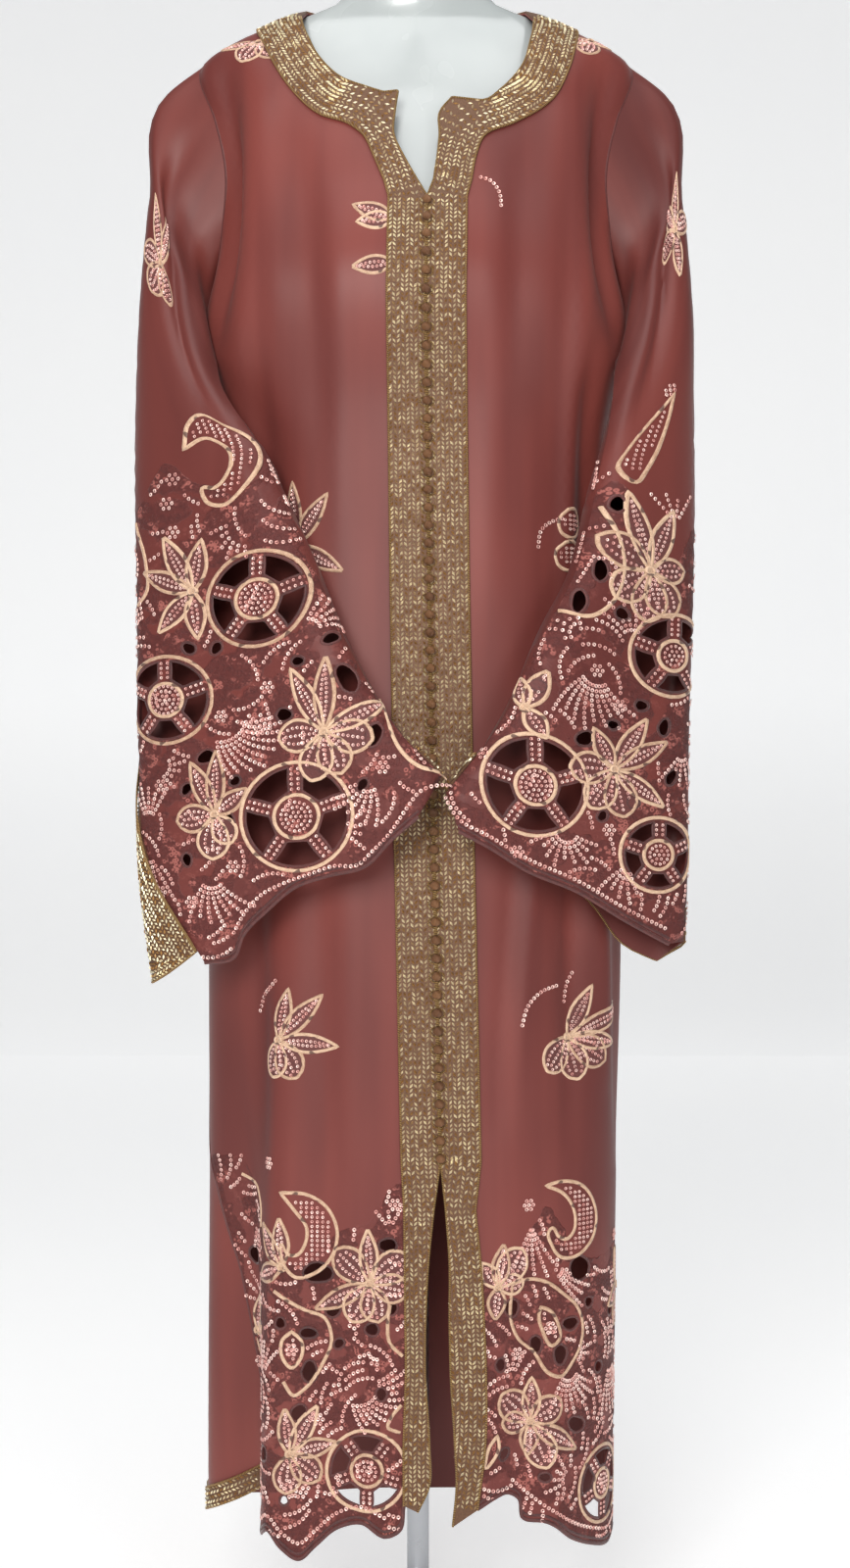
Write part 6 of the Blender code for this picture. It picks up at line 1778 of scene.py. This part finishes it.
def sheet_of(name, profile):
    """A wide sheet swept along a profile of depths and heights."""
    corners = [(x, y, z) for y, z in profile for x in (-FLOOR_WIDE / 2, FLOOR_WIDE / 2)]
    faces = [(2 * n, 2 * n + 1, 2 * n + 3, 2 * n + 2) for n in range(len(profile) - 1)]
    mesh = bpy.data.meshes.new(name)
    mesh.from_pydata(corners, [], faces)
    mesh.polygons.foreach_set("use_smooth", [True] * len(mesh.polygons))
    mesh.materials.append(plaster.material)
    made = bpy.data.objects.new(name, mesh)
    bpy.context.scene.collection.objects.link(made)
    return made


plaster = Finish("pale_plaster", Emission_Color=(1.0, 1.0, 1.0, 1.0), Emission_Strength=0.36)
plaster_place = plaster.node("ShaderNodeTexCoord", {}, {}, 3)
patches = plaster.noise(plaster_place, 2.2, 4.0)
pits = plaster.noise(plaster_place, 120.0, 4.0)
plaster.feed("Base Color", plaster.mix(patches, tint(250, 251, 252), tint(254, 254, 253)))
plaster.feed("Roughness", 0.75 + 0.15 * pits)
plaster.bump(pits, 0.0008, 0.35)
floor_sheet = sheet_of("studio_floor", [(FLOOR_NEAR, -0.0001), (WALL_BACK - BEND, -0.0001)])
wall_sheet = sheet_of("studio_wall", [(WALL_BACK - BEND, -0.0001)]
                      + [(WALL_BACK - BEND + BEND * math.sin(a), BEND - BEND * math.cos(a))
                         for a in np.linspace(0.2, math.pi / 2, 8)] + [(WALL_BACK, WALL_TOP)])


def soft_light(name, place, aim, size, watts, colour):
    """A large square light that faces a point."""
    lamp = bpy.data.lights.new(name, "AREA")
    lamp.shape = "RECTANGLE"
    lamp.size, lamp.size_y = size
    lamp.energy = watts
    lamp.color = colour
    made = bpy.data.objects.new(name, lamp)
    made.location = place
    made.rotation_euler = (Vector(aim) - Vector(place)).to_track_quat("-Z", "Y").to_euler()
    bpy.context.scene.collection.objects.link(made)


soft_light("window_front", (-0.6, -3.3, 1.9), (0, 0, 0.85), (1.2, 1.4), 84, (1.0, 0.985, 0.96))
soft_light("window_right", (1.2, -3.2, 1.0), (0, 0, 0.8), (0.8, 1.4), 16, (1.0, 0.99, 0.98))
soft_light("ceiling", (0.0, -0.7, 3.2), (0, 0, 0.9), (2.0, 1.4), 30, (1.0, 1.0, 1.0))
world = bpy.data.worlds.new("soft_room")
world.use_nodes = True
world.node_tree.nodes["Background"].inputs[0].default_value = (0.94, 0.96, 1.0, 1.0)
world.node_tree.nodes["Background"].inputs[1].default_value = 0.2
bpy.context.scene.world = world
bpy.context.scene.view_settings.view_transform = "Standard"

camera = bpy.data.objects.new("camera", bpy.data.cameras.new("camera"))
camera.location = (0.009, -2.24, 0.86)
camera.rotation_euler = (math.pi / 2, 0, 0)
camera.data.sensor_width = 36.0
camera.data.lens = 36.0 * 2272 / 1600
bpy.context.scene.collection.objects.link(camera)
bpy.context.scene.camera = camera
